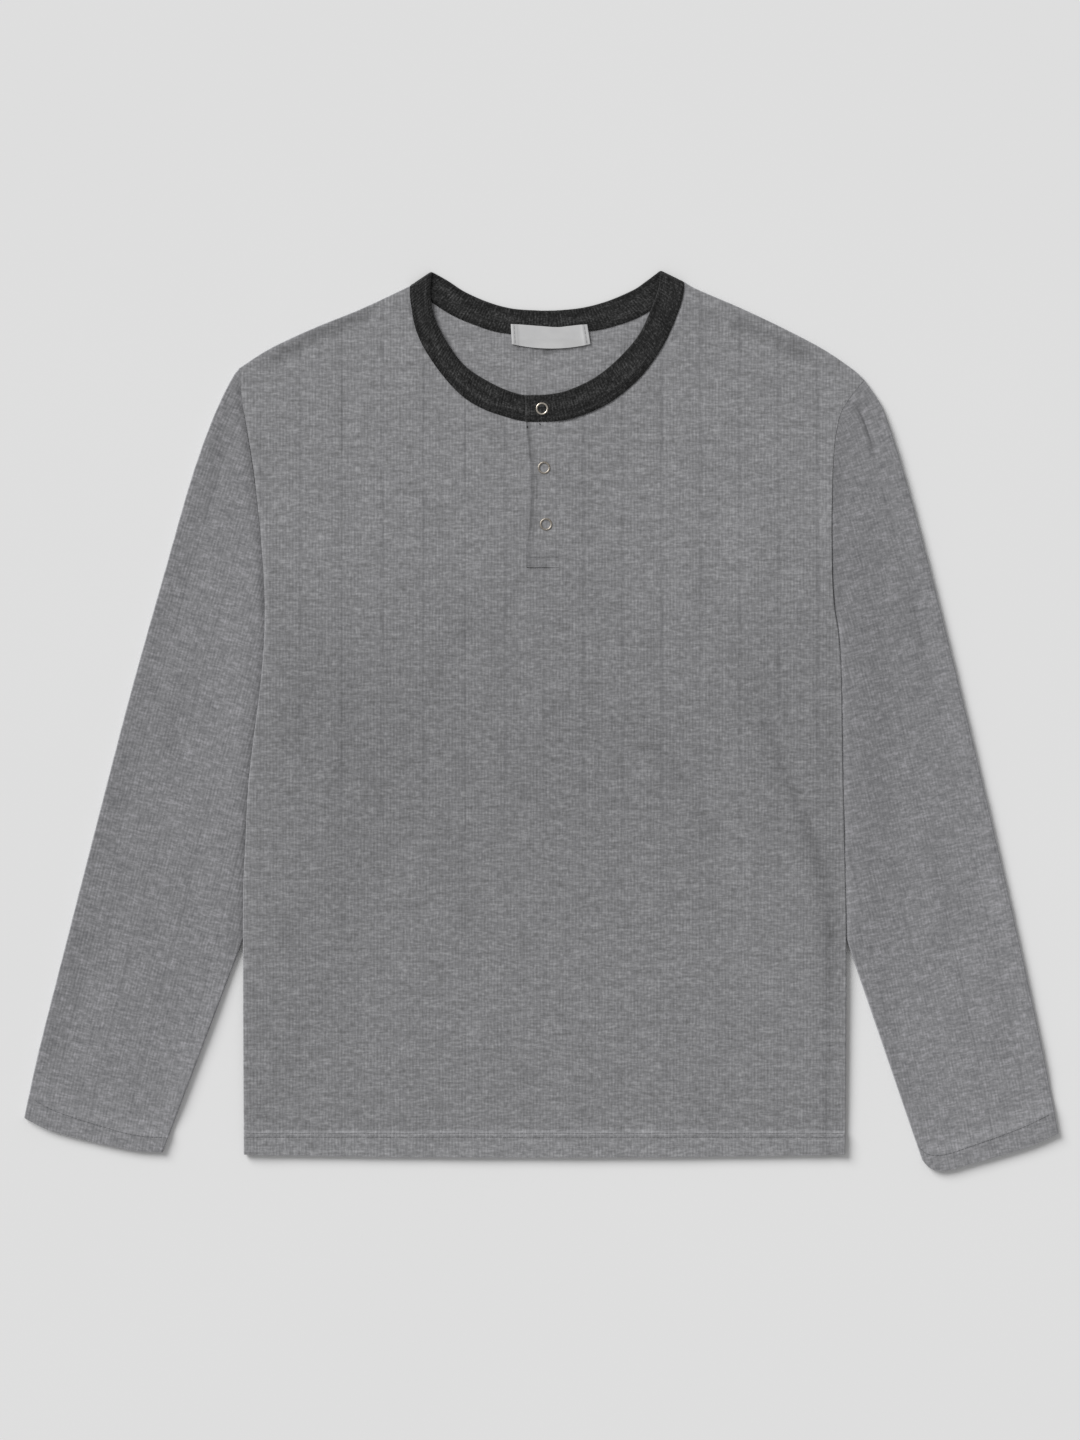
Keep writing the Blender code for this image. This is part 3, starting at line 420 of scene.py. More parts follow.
FRONT_CREASES = (
    # Over the edges of the sleeves tucked beneath.
    Crease(((172, 44), (180, 0), (211, -80), (228, -136), (236, -240)), -0.9, 7.5, 0.42),
    Crease(((188, 34), (197, -18), (221, -76), (235, -130)), 0.3, 7),
    Crease(((-154, 84), (-152, 20), (-162, -44), (-176, -96)), -0.26, 6),
    Crease(((-176, 66), (-190, 10), (-206, -70)), -0.15, 13, 0.35, 0.4),
    # Along the shoulders, ending short at the neck.
    Crease(((-225, 281), (-179, 305), (-130, 327)), -1.3, 5.5, 0.25, 0.12),
    Crease(((149, 320), (191, 302), (229, 281)), -1.4, 5.5, 0.12, 0.3),
    # By the neckband on the wearer's left.
    Crease(((103, 305), (111, 309), (121, 311)), -0.9, 2.2, 0.15, 0.5),
    Crease(((105, 300), (114, 303), (122, 304)), 0.5, 2.4, 0.15, 0.5),
    Crease(((112, 322), (118, 326), (122, 332)), -0.6, 2, 0.2, 0.5),
    # Hollow beside the side seam, low on the wearer's left.
    Crease(((229, -136), (231, -230), (229, -320), (230, -352)), -0.7, 4, 0.3, 0.01),
    # Drag lines from the underarms and the foot of the placket.
    Crease(((-216, 84), (-190, 96), (-160, 116)), -0.1, 7),
    Crease(((-13, 119), (-22, 100), (-34, 66)), -0.4, 3.6, 0.06, 0.6),
    Crease(((60, 20), (112, -52), (140, -128)), -0.28, 12),
    Crease(((-96, -60), (-60, -130), (-52, -208)), -0.24, 13),
)

BACK_CREASES = (
    Crease(((-190, 250), (-130, 200), (-96, 120)), -0.3, 9),
    Crease(((196, 246), (150, 176), (120, 92)), -0.3, 8),
    Crease(((-70, 30), (-30, -60), (-24, -160)), -0.28, 11),
    Crease(((88, -20), (64, -110), (84, -210)), -0.3, 10),
)

SLEEVE_CREASES = {
    "left": (
        # The pleat that runs down from the shoulder tip.
        Crease(
            ((251, 254), (256, 245), (260, 234), (264.6, 219), (267, 204)),
            -1.9, 1.5, 0.1, 0.45,
        ),
        Crease(((256, 254), (260, 243), (264, 232), (269, 216)), 0.5, 2.4, 0.1, 0.5),
        Crease(((286, 120), (304, 60), (318, 10)), -0.4, 6),
        Crease(((300, -60), (322, -120), (334, -190)), -0.35, 7),
        Crease(((352, -190), (366, -240), (372, -300)), -0.3, 6),
    ),
    "right": (
        Crease(((-252, 236), (-262, 190), (-272, 150)), -0.35, 5),
        Crease(((-270, 60), (-292, 0), (-300, -60)), -0.35, 7),
        Crease(((-330, -100), (-344, -160), (-352, -220)), -0.3, 6),
    ),
}


# -------- the laid body


class ShadeRow(NamedTuple):
    """A row of painted shade: how dark the cloth is painted at a place along it, 0 to 1."""

    place: float
    dark: float


# Painted shade down the body by Y, where less light falls across its middle.
BODY_PAINTED_SHADE = rows(
    ShadeRow, (-350, 0), (-334, 0.02), (-326, 0.2), (-280, 0.2), (-204, 0.19), (-110, 0.24),
    (-24, 0.285), (70, 0.225), (140, 0.1), (240, 0.05), (340, 0.05),
)
# Painted shade along the sleeves, by the distance from the cuff.
SLEEVE_PAINTED_SHADE = {
    "left": rows(ShadeRow, (0, 0), (150, 0.03), (300, 0.12), (450, 0.2), (620, 0.17)),
    "right": rows(ShadeRow, (0, 0.03), (60, 0.1), (250, 0.15), (450, 0.11), (620, 0.08)),
}

# How far the sleeves come up beside the body's edge.
SWELL_SHARES = {"left": 1, "right": 0.4}
# What picks the sleeves' waves.
WAVE_SEEDS = {"left": 21, "right": 27}

# Painted shadow that the body's edge casts on the sleeve beside it: its width in millimetres, the
# share that its narrow core has in it, and how dark it is at each height.
SHADE_REACH = {"left": 7, "right": 7.5}
SHADE_CORES = {"left": 0, "right": 0.7}
BODY_SHADES = {
    "left": rows(ShadeRow, (60, 0), (90, 0.24), (130, 0.34), (180, 0.34), (225, 0.24), (250, 0)),
    "right": rows(ShadeRow, (-180, 0.3), (60, 0.3), (160, 0.38), (240, 0.42), (263, 0.44), (270, 0)),
}

# Painted shadow on the back panel under the foot of the label.
LABEL_FOOT = np.array([[-20.0, 299.0], [-6.0, 295.4], [4.0, 294.6]])
LABEL_SHADE = 0.7
LABEL_SHADE_REACH = 3.2


class ShadePatch(NamedTuple):
    """A wide soft patch of painted shade, darker (above 0), or of painted light, lighter than the
    cloth around it.
    """

    x: float
    y: float
    reach: float
    dark: float


BODY_SHADE_PATCHES = (
    ShadePatch(112, 106, 24, 0.09), ShadePatch(204, 136, 22, 0.12), ShadePatch(182, 16, 18, 0.12),
    ShadePatch(-182, 22, 30, 0.1), ShadePatch(-98, 54, 30, -0.1), ShadePatch(10, -60, 60, 0.04),
)


def patch_shade(clouds: Sequence[ShadePatch], x: Array, y: Array) -> Array:
    """How much painted shade, or painted light below 0, wide patches put at each place."""
    return sum(c.dark * bump(np.hypot(x - c.x, y - c.y), c.reach) for c in clouds)


def painted_shade_along(rows: Sequence[ShadeRow], place: Array) -> Array:
    """How dark the painted shade is at each place, from a table of rows."""
    return np.interp(place, [row.place for row in rows], [row.dark for row in rows])


@dataclass(frozen=True)
class LaidBody:
    """Heights of the body's two layers as they lie on each other and on the tucked sleeves."""

    air_gap: float = 0.8
    # The rise over the tucked sleeves, whole for a margin and then fading.
    tuck_lift: float = 3.8
    tuck_margins: Pair = (9, 20)  # inwards, and above
    tuck_ramp: float = 92
    # The side folds, pinched flat across the sleeves.
    pinch_reach: float = 5
    pinch_rise: float = 0.8
    pinch_wall: float = 0.4
    pinch_below: float = 20  # below the underarm
    pinch_above: Pair = (-10, 20)  # about the tuck's end
    edge_puff: float = 0.15
    edge_press: float = 0.9  # of the side folds, below the underarms
    press_run: float = 40
    shoulder_run: Pair = (100, 120)  # out, over which the shoulder fold begins
    # The front comes up beside the neckband and the placket.
    neck_rises: Pair = (1.6, 0.6)  # on the left, and less at the lap
    lower_end_run: Pair = (14, 48)
    neck_reach: float = 26
    placket_rise: float = 1.6
    placket_reach: float = 22
    foot_rise: float = 0.65  # share of it below the slit
    foot_run: Pair = (-26, -10)
    foot_slope: Pair = (28, 4)  # below and above the chest line
    # Relief of the face.
    groove_depth: float = 0.26
    groove_reach: float = 0.8
    groove_low: float = 0.22  # share of the depth, low on the body
    needles_pressed: Pair = (-230, 110)  # Y
    waves: tuple[Waves, ...] = (Waves(0.16, 95, 3), Waves(0.06, 34, 5))
    hem_waves: Waves = Waves(0.12, 17, 11)
    hem_stretch: float = 0.2  # along Y
    neck_seam: Hill = Hill(0.5, 0, 1.6)
    # The armhole seams, which roll the front's edge.
    roll_shares: Pair = (1, 0.2)
    roll_start: float = 6  # about the underarm
    roll_run: Pair = (235, 264)  # Y
    roll_faded: float = 0.8
    roll_sink: Hill = Hill(0.6, 0, 1.5)
    roll_crest: Hill = Hill(0.35, 4, 2.4)
    edge_light: float = 0.8  # how much of the painted shade the side folds are spared, which paints them lighter

    def lift(self, x: Array, y: Array) -> Array:
        """Lays the body over the sleeves tucked under it.

        Args:
            x, y: places on the plan.

        Returns:
            How high the back panel's underside is at each place.
        """
        total = np.zeros(np.broadcast(x, y).shape)
        for half in HALVES:
            end, tuck = half.cuff[-1], half.tuck
            run_out, run_y = end.out - tuck.out, end.y - tuck.y
            past_out, past_y = half.sign * x - tuck.out, y - tuck.y
            inwards = (past_out * run_y - past_y * run_out) / math.hypot(run_out, run_y)
            slope = (half.underarm_y - tuck.y) / (half.side_out(half.underarm_y) - tuck.out)
            above = past_y - slope * past_out
            gaps = zip((inwards, above), self.tuck_margins)
            away = np.hypot(*(np.maximum(gap - margin, 0) for gap, margin in gaps))
            total += self.tuck_lift * (1 - step(0, self.tuck_ramp, away))
        on_sleeve = np.clip(total / self.tuck_lift, 0, 1)
        return total + self.pinch_rise * self.pinched(x, y) * on_sleeve

    def pinched(self, x: Array, y: Array) -> Array:
        """Finds the side folds where they lie across the sleeves.

        Args:
            x, y: places on the plan.

        Returns:
            How close each place is to them, up to 1.
        """
        total = np.zeros(np.broadcast(x, y).shape)
        for half in HALVES:
            below = 1 - step(half.underarm_y - self.pinch_below, half.underarm_y, y)
            above = step(*(TUCK_END_Y + shift for shift in self.pinch_above), y)
            total += below * above * bump(half.inside(x, y), self.pinch_reach)
        return total

    def wall(self, x: Array, y: Array) -> Array:
        """Makes a panel doubled at the hem, and thinner at the side folds.

        Args:
            x, y: places on the plan.

        Returns:
            Its thickness at each place.
        """
        edge = HEM_CORNER_Y + HEM_DEPTH
        wall = HEM_WALL + (WALL - HEM_WALL) * step(edge - 1, edge + 2, y)
        return wall - self.pinch_wall * self.pinched(x, y)

    def neck_gap(self, x: Array, y: Array) -> Array:
        """Distance of each place from the front's neck seam."""
        return np.minimum(*(nearest(half.curve(half.neck_front), x, y)[0] for half in HALVES))

    def neck_rise(self, x: Array, y: Array) -> Array:
        """Brings the front up to meet the neckband, less so towards its lower end.

        Args:
            x, y: places on the plan.

        Returns:
            The rise at each place.
        """
        whole, less = self.neck_rises
        right = whole - less * step(*UPPER_END_RUN, x)
        left = step(*self.lower_end_run, -x)
        return np.where(x > 0.0, right, left) * bump(self.neck_gap(x, y), self.neck_reach)

    def slit_rise(self, x: Array, y: Array) -> Array:
        """Brings the front beside the upper placket strip level with it.

        Args:
            x, y: places on the plan.

        Returns:
            The rise at each place.
        """
        across = np.where(x > SLIT[1], bump(x - SLIT[1], self.placket_reach), step(*SLIT, x))
        below = self.foot_rise * step(*self.foot_run, x) * (y < CHEST_Y + 0.1)
        across = np.maximum(across, np.where(x > SLIT[1], 0.0, below))
        down, up = self.foot_slope
        return self.placket_rise * across * step(CHEST_Y - down, CHEST_Y + up, y)

    def air(self, x: Array, y: Array) -> Array:
        """Parts the front from the back.

        Args:
            x, y: places on the plan.

        Returns:
            The gap between them at each place.
        """
        gap = self.air_gap + np.maximum(self.neck_rise(x, y), self.slit_rise(x, y))
        for half in HALVES:
            out = half.sign * x
            below = 1 - step(half.underarm_y - self.press_run, half.underarm_y, y)
            swell = self.edge_puff - self.edge_press * below
            gap += swell * bump(half.inside(x, y), PUFF_REACH)
            from_top = np.maximum(half.top_y(half.shoulder, out) - y, 0)
            gap += self.edge_puff * step(*self.shoulder_run, out) * bump(from_top, PUFF_REACH)
        return gap

    def grooves(self, x: Array, y: Array) -> Array:
        """How deep in a dropped-needle line each place is, from 0 to 1: less, low on the body."""
        deep = sum(bump(x - needle, self.groove_reach) for needle in BODY_NEEDLES)
        return deep * (self.groove_low + (1 - self.groove_low) * step(*self.needles_pressed, y))

    def relief(self, x: Array, y: Array) -> Array:
        """Creases, waves and sunk seams of the front.

        Args:
            x, y: places on the plan.

        Returns:
            What they add to its height.
        """
        total = sum(crease.at(x, y) for crease in FRONT_CREASES)
        for waves in self.waves:
            total += waves.at(x, y)
        near_hem = bump(y - HEM_CORNER_Y - HEM_DEPTH, HEM_WAVES)
        total += self.hem_waves.at(x, self.hem_stretch * y, near_hem)
        total -= self.neck_seam.at(self.neck_gap(x, y))
        for half, share in zip(HALVES, self.roll_shares):
            inside, start = half.inside(x, y), self.roll_start
            sewn = step(half.underarm_y - start, half.underarm_y + start, y)
            sewn *= 1 - self.roll_faded * step(*self.roll_run, y)
            total += share * sewn * (self.roll_crest.at(inside) - self.roll_sink.at(inside))
        return total

    def face(self, x: Array, y: Array) -> Array:
        """Height of the front panel's face, creases included."""
        even = self.lift(x, y) + 2 * self.wall(x, y) + self.air(x, y)
        return even + self.relief(x, y)


# -------- meshes


def deselect() -> None:
    """Leaves nothing selected, so that the next operator acts on its own piece alone."""
    for thing in bpy.context.selected_objects:
        thing.select_set(False)


def dress_mesh(mesh: bpy.types.Mesh, uv: Array, marks: dict[str, Array]) -> None:
    """Gives a mesh its UV map and its attributes.

    Args:
        mesh: the mesh.
        uv: each face corner's place on the cloth, in millimetres.
        marks: a value for each point, by the attribute's name.
    """
    layer = mesh.uv_layers.new(name=UV_NAME)
    layer.data.foreach_set("uv", (uv * MM).astype(np.float32).ravel())
    for name, value in marks.items():
        made = mesh.attributes.new(name, "FLOAT", "POINT")
        made.data.foreach_set("value", value.astype(np.float32).ravel())


@dataclass
class Shell:
    """A closed wall between an outer and an inner grid of points."""

    name: str
    outer: Array  # rows x columns x 3
    inner: Array
    uv: Array  # rows x columns x 2; one column more where it wraps
    marks: dict[str, Array] = field(default_factory=dict)
    keep: Optional[Array] = None  # which cells exist
    wrap: bool = False

    def build(self) -> Piece:
        """Makes the mesh.

        Returns:
            The new object, at the origin.
        """
        rows, columns = self.outer.shape[:2]
        wide = columns if self.wrap else columns - 1
        keep = np.ones((rows - 1, wide), bool) if self.keep is None else self.keep
        row, column = np.nonzero(keep)
        corners = [(row, column), (row, column + 1), (row + 1, column + 1), (row + 1, column)]
        top = self._index(corners, (0, 0, 0, 0))
        low = top[:, ::-1] + rows * columns
        faces = [top, low, *self._rims(keep)]
        face_uv = np.stack([self.uv[corner] for corner in corners], 1)
        corner_uv = [face_uv, face_uv[:, ::-1], *(self._rim_uv(rim) for rim in faces[2:])]
        return self._finish(np.concatenate(faces), np.concatenate(corner_uv))

    def _index(self, corners: Sequence[tuple[Array, Array]], layers: Sequence[int]) -> Array:
        """Numbers the points at the corners of faces.

        Args:
            corners: the rows and columns of each corner, round the face.
            layers: for each corner, 0 on the outer grid and 1 on the inner.

        Returns:
            The points of each face.
        """
        rows, columns = self.outer.shape[:2]
        ends = zip(corners, layers)
        return np.stack([(k * rows + row) * columns + c % columns for (row, c), k in ends], 1)

    def _rim_uv(self, rim: Array) -> Array:
        """Lays a rim on the cloth.

        Args:
            rim: its points, as indices.

        Returns:
            Their places on the cloth.
        """
        rows, columns = self.outer.shape[:2]
        index = rim % (rows * columns)
        return self.uv.reshape(-1, 2)[index // columns * self.uv.shape[1] + index % columns]

    def _rims(self, keep: Array) -> list[Array]:
        """Joins the two layers where the cells end.

        Args:
            keep: which cells exist.

        Returns:
            The faces across the wall, those between rows first.
        """
        faces = []
        for down in (0,) if self.wrap else (0, 1):
            padded = np.pad(keep, ((1 - down, 1 - down), (down, down)))
            row, column = np.nonzero(np.diff(padded, axis=down))
            here, after = (row, column), (row + down, column + 1 - down)
            faces.append(self._index([here, after, after, here], (0, 0, 1, 1)))
        return faces

    def _finish(self, faces: Array, face_uv: Array) -> Piece:
        """Turns points and faces into a smooth object with its UV map and attributes.

        Args:
            faces: four points to each face.
            face_uv: the place on the cloth of each corner.

        Returns:
            The new object.
        """
        points = np.concatenate([self.outer.reshape(-1, 3), self.inner.reshape(-1, 3)])
        used, index = np.unique(faces, return_inverse=True)
        mesh = bpy.data.meshes.new(self.name)
        mesh.from_pydata(points[used] * MM, [], index.reshape(faces.shape))
        marks = {}
        for name in (GROOVE, SHADE):
            value = self.marks.get(name, np.zeros(self.outer.shape[:2])).ravel()
            marks[name] = np.concatenate([value, value])[used]
        dress_mesh(mesh, face_uv, marks)
        return finished(self.name, mesh)


def finished(name: str, mesh: bpy.types.Mesh, angle: float = 50) -> Piece:
    """Links a closed mesh as an object with outward faces and smooth shading.

    Args:
        name: the piece's name.
        mesh: its mesh, in metres about the origin.
        angle: edges sharper than this, in degrees, stay sharp.

    Returns:
        The new object.
    """
    builder = bmesh.new()
    builder.from_mesh(mesh)
    bmesh.ops.recalc_face_normals(builder, faces=builder.faces)
    builder.to_mesh(mesh)
    builder.free()
    mesh.shade_smooth()
    mesh.set_sharp_from_angle(angle=math.radians(angle))
    piece = bpy.data.objects.new(name, mesh)
    bpy.context.scene.collection.objects.link(piece)
    return piece


def with_height(plan: Array, height: Array) -> Array:
    """Joins plan points and their heights."""
    return np.concatenate([plan, height[..., None]], -1)


# -------- body panels


@dataclass
class Column:
    """One line of points from hem to top edge."""

    low: Callable[[Array], Array]  # X at a height, below the chest
    top: Pair  # X and Y of its upper end
    side: int = 0  # sign of its edge fold
    angle: float = 90  # place round the edge fold
    on_shoulder: bool = True

    def x(self, y: Array) -> Array:
        """X at each height: straight from the chest line to the upper end."""
        share = np.clip((y - CHEST_Y) / (self.top[1] - CHEST_Y), 0, 1)
        return self.low(y) + (self.top[0] - self.low(np.float64(self.top[1]))) * share


def fold_inset(angle: float) -> float:
    """How far inside the edge of a fold its cloth is, at an angle in degrees round it."""
    return FOLD_RADIUS * (1 - math.cos(math.radians(angle)))


def hem_y(x: Any) -> Array:
    """The hem's lower edge."""
    widest = LEFT.side[0].out
    return HEM_CORNER_Y - HEM_DROP * (1 - (np.abs(x) / widest) ** 2)


@dataclass
class BodyPanel:
    """The front or the back of the body, cut to the outline and laid."""

    layer: Layer
    body: LaidBody
    fill: float = 4.6  # usual distance between columns
    side_fills: int = 13
    row_pitch: float = 4.2
    hem_shares: Numbers = (0, 0.03, 0.08, 0.2, 0.45, 0.7)  # rows below the stitches
    top_edge: float = 24  # where rows follow the top edge
    top_rows: Numbers = (20.4, 17, 13.6, 10.4, 7.6, 5.2)
    side_run: Pair = (-8, 10)  # about the underarm
    back_grooves: float = 0.3  # share of the front's
    cloudy: Waves = Waves(0.03, 60, 61)
    spared_reach: float = 3

    def neck(self, half: Half) -> tuple[Point, ...]:
        """Rows of this panel's neck seam."""
        return half.neck_front if self.layer is Layer.FRONT else half.neck_back

    def upright(self, half: Half, out: float) -> Column:
        """Sets a column along the grain.

        Args:
            half: its half.
            out: how far out it is.

        Returns:
            The column, up to the shoulder or the neck.
        """
        x = half.sign * out
        on_shoulder = out >= half.shoulder[-1].out
        top = float(half.top_y(half.shoulder if on_shoulder else self.neck(half), out))
        return Column(lambda y: x + 0 * y, (x, top), on_shoulder=on_shoulder)

    def edge_column(self, half: Half, angle: float) -> Column:
        """Sets a column that follows the body's side.

        Args:
            half: its half.
            angle: its place round the fold, in degrees.

        Returns:
            The column.
        """
        inset = fold_inset(angle)
        tip = half.side[-1].out - inset
        top = (half.sign * tip, float(half.top_y(half.shoulder, tip)))
        return Column(lambda y: half.sign * (half.side_out(y) - inset), top, half.sign, angle)

    def side_column(self, half: Half, share: float) -> Column:
        """Sets a column between the outermost needle and the side.

        Args:
            half: its half.
            share: how much of the way it is.

        Returns:
            The column.
        """
        start = half.needles[0] + GROOVE_STEPS[0]

        tip = start + (half.side[-1].out - FOLD_RADIUS - start) * share
        return Column(
            lambda y: half.sign * (start + (half.side_out(y) - FOLD_RADIUS - start) * share),
            (half.sign * tip, float(half.top_y(half.shoulder, tip))),
        )

    def corner_columns(self, half: Half, next_out: float) -> list[Column]:
        """Sets columns from the neck's corner, down the steep start of the neck seam.

        Args:
            half: their half.
            next_out: how far out the next column inwards is.

        Returns:
            The columns, from the corner inwards.
        """
        corner = half.shoulder[-1].out
        columns = [self.upright(half, corner)]
        curve = half.curve(self.neck(half))
        run = lengths(curve)
        stop = np.interp(-next_out, -half.sign * curve[:, 0], run)
        count = max(2, round(stop / self.fill))
        for index in range(1, count):
            share = index / count
            top = tuple(along(curve, [stop * share / run[-1]])[0])
            x = half.sign * (corner + (next_out - corner) * share)
            columns.append(Column(lambda y, x=x: x + 0 * y, top, on_shoulder=False))
        return columns

    def uprights(self, half: Half, inner: float, outer: float) -> list[Column]:
        """Even columns between two places, neither of which gets one."""
        count = max(1, round((inner - outer) / self.fill))
        return [self.upright(half, out) for out in np.linspace(inner, outer, count + 1)[1:-1]]

    def half_columns(self, half: Half) -> list[Column]:
        """Sets all columns of one half.

        Args:
            half: which half.

        Returns:
            The columns, from its side inwards.
        """
        columns = [self.edge_column(half, angle) for angle in FOLD_ANGLES]
        fills = self.side_fills
        columns += [self.side_column(half, 1 - k / (fills + 1)) for k in range(1, fills + 1)]
        stops = [*half.needles, half.sign * SLIT[0 if half.sign < 0 else 1]]
        corner = half.shoulder[-1].out
        for needle, following in zip(stops, stops[1:]):
            columns += [self.upright(half, needle + shift) for shift in GROOVE_STEPS]
            inner = needle + GROOVE_STEPS[-1]
            outer = following + (0 if following == stops[-1] else GROOVE_STEPS[0])
            if outer < corner < inner:
                columns += self.uprights(half, inner, corner) + self.corner_columns(half, outer)
            else:
                columns += self.uprights(half, inner, outer)
        columns.append(self.upright(half, stops[-1]))
        return columns

    def columns(self) -> list[Column]:
        """Lays out the whole panel.

        Returns:
            Its columns, from -X to +X.
        """
        middle = [self.upright(LEFT, CENTRE_NEEDLE + shift) for shift in GROOVE_STEPS]
        right_first, left_last = (self.half_columns(half) for half in HALVES)
        return [*right_first, *reversed(middle), *reversed(left_last)]

    def rows(self, columns: Sequence[Column]) -> tuple[Array, Array, int]:
        """Lays out the rows.

        Args:
            columns: the panel's columns.

        Returns:
            Y of each point, each row's angle round the top fold, and the row at the chest line.
        """
        stitch = HEM_CORNER_Y + HEM_DEPTH
        hem = np.array([float(hem_y(column.low(np.float64(HEM_CORNER_Y)))) for column in columns])
        tops = np.array([column.top[1] for column in columns])
        flat = np.ones_like(tops)
        first, last = STITCH_STEPS[0], STITCH_STEPS[-1]
        lines = [hem + (stitch + first - hem) * share for share in self.hem_shares]
        lines += [(stitch + shift) * flat for shift in STITCH_STEPS]
        count = round((CHEST_Y - stitch - last) / self.row_pitch)
        lines += [y * flat for y in np.linspace(stitch + last, CHEST_Y, count + 1)[1:]]
        chest_row = len(lines) - 1
        count = round((tops.max() - self.top_edge - CHEST_Y) / self.row_pitch)
        for share in np.linspace(0, 1, count + 1)[1:]:
            lines.append(CHEST_Y + (tops - self.top_edge - CHEST_Y) * share)
        lines += [tops - below for below in self.top_rows]
        angles = [90] * len(lines)
        for angle in reversed(FOLD_ANGLES):
            lines.append(tops - fold_inset(angle))
            angles.append(angle)
        return np.array(lines), np.radians(angles), chest_row

    def build(self) -> Piece:
        """Lays the panel and turns it into a closed shell.

        Returns:
            The panel.
        """
        columns = self.columns()
        y, row_angles, chest_row = self.rows(columns)
        x = np.stack([column.x(y[:, index]) for index, column in enumerate(columns)], axis=1)
        wall = self.body.wall(x, y)
        side_angle = np.radians([column.angle for column in columns])
        side_sign = np.array([column.side for column in columns])
        underarm = {half.sign: half.underarm_y for half in HALVES}
        armhole_foot = np.array([underarm.get(column.side, 0.0) for column in columns])
        side_weight = 1 - step(*self.side_run, y - armhole_foot)
        top_weight = np.array([float(column.on_shoulder) for column in columns])
        side_rise = 1 + (np.sin(side_angle) - 1) * side_weight
        top_rise = 1 + (np.sin(row_angles)[:, None] - 1) * top_weight
        rise = side_rise * top_rise

        is_front = self.layer is Layer.FRONT
        low = self.body.lift(x, y)
        middle = low + wall + self.body.air(x, y) / 2
        groove = self.body.grooves(x, y) * (1 if is_front else self.back_grooves)
        keep = np.ones((len(y) - 1, len(columns) - 1), bool)
        if is_front:
            base = middle + SEAM / 2
            outer_z = base + (self.body.face(x, y) - base) * rise
            inner_z = outer_z - wall * rise
            outer_z = outer_z - self.body.groove_depth * groove * rise
            middles = (x[0, :-1] + x[0, 1:]) / 2
            keep[chest_row:, (middles > SLIT[0]) & (middles < SLIT[1])] = False
        else:
            base = middle - SEAM / 2
            under = low - sum(crease.at(x, y) for crease in BACK_CREASES) * (low < 0.1)
            outer_z = base + (under - base) * rise
            inner_z = base + (low - base) * rise + wall * rise
        inner_x = x - side_sign * wall * np.cos(side_angle) * side_weight
        inner_y = y - wall * np.cos(row_angles)[:, None] * top_weight
        outer = np.stack([x, y, outer_z], -1)
        self.edge = {-1: outer[:, 0, :], 1: outer[:, -1, :]}
        inner, uv = np.stack([inner_x, inner_y, inner_z], -1), np.stack([x, y], -1)
        marks = {GROOVE: groove, SHADE: self.painted_hollow_shade(x, y)}
        return Shell(f"{self.layer.value}_cloth", outer, inner, uv, marks, keep).build()

    def painted_hollow_shade(self, x: Array, y: Array) -> Array:
        """Paints shade on the front, most of all in its troughs, and a shadow on the back under the
        label.

        Args:
            x, y: places on the plan.

        Returns:
            Painted shade, from 0 to 1.
        """
        if self.layer is Layer.BACK:
            return LABEL_SHADE * bump(nearest(LABEL_FOOT, x, y)[0], LABEL_SHADE_REACH)
        deep = -sum(crease.at(x, y) for crease in FRONT_CREASES)
        cloudy = self.cloudy.at(x, 0.6 * y)
        inside = np.minimum(*(half.inside(x, y) for half in HALVES))
        # The side folds get less painted shade, so they are painted lighter.
        spared = 1 - self.body.edge_light * bump(inside, self.spared_reach)
        even = painted_shade_along(BODY_PAINTED_SHADE, y) * spared + patch_shade(BODY_SHADE_PATCHES, x, y)
        return np.clip(even + TROUGH_SHADE * np.clip(deep, 0, 1) + cloudy, 0, 1)


# -------- sleeves


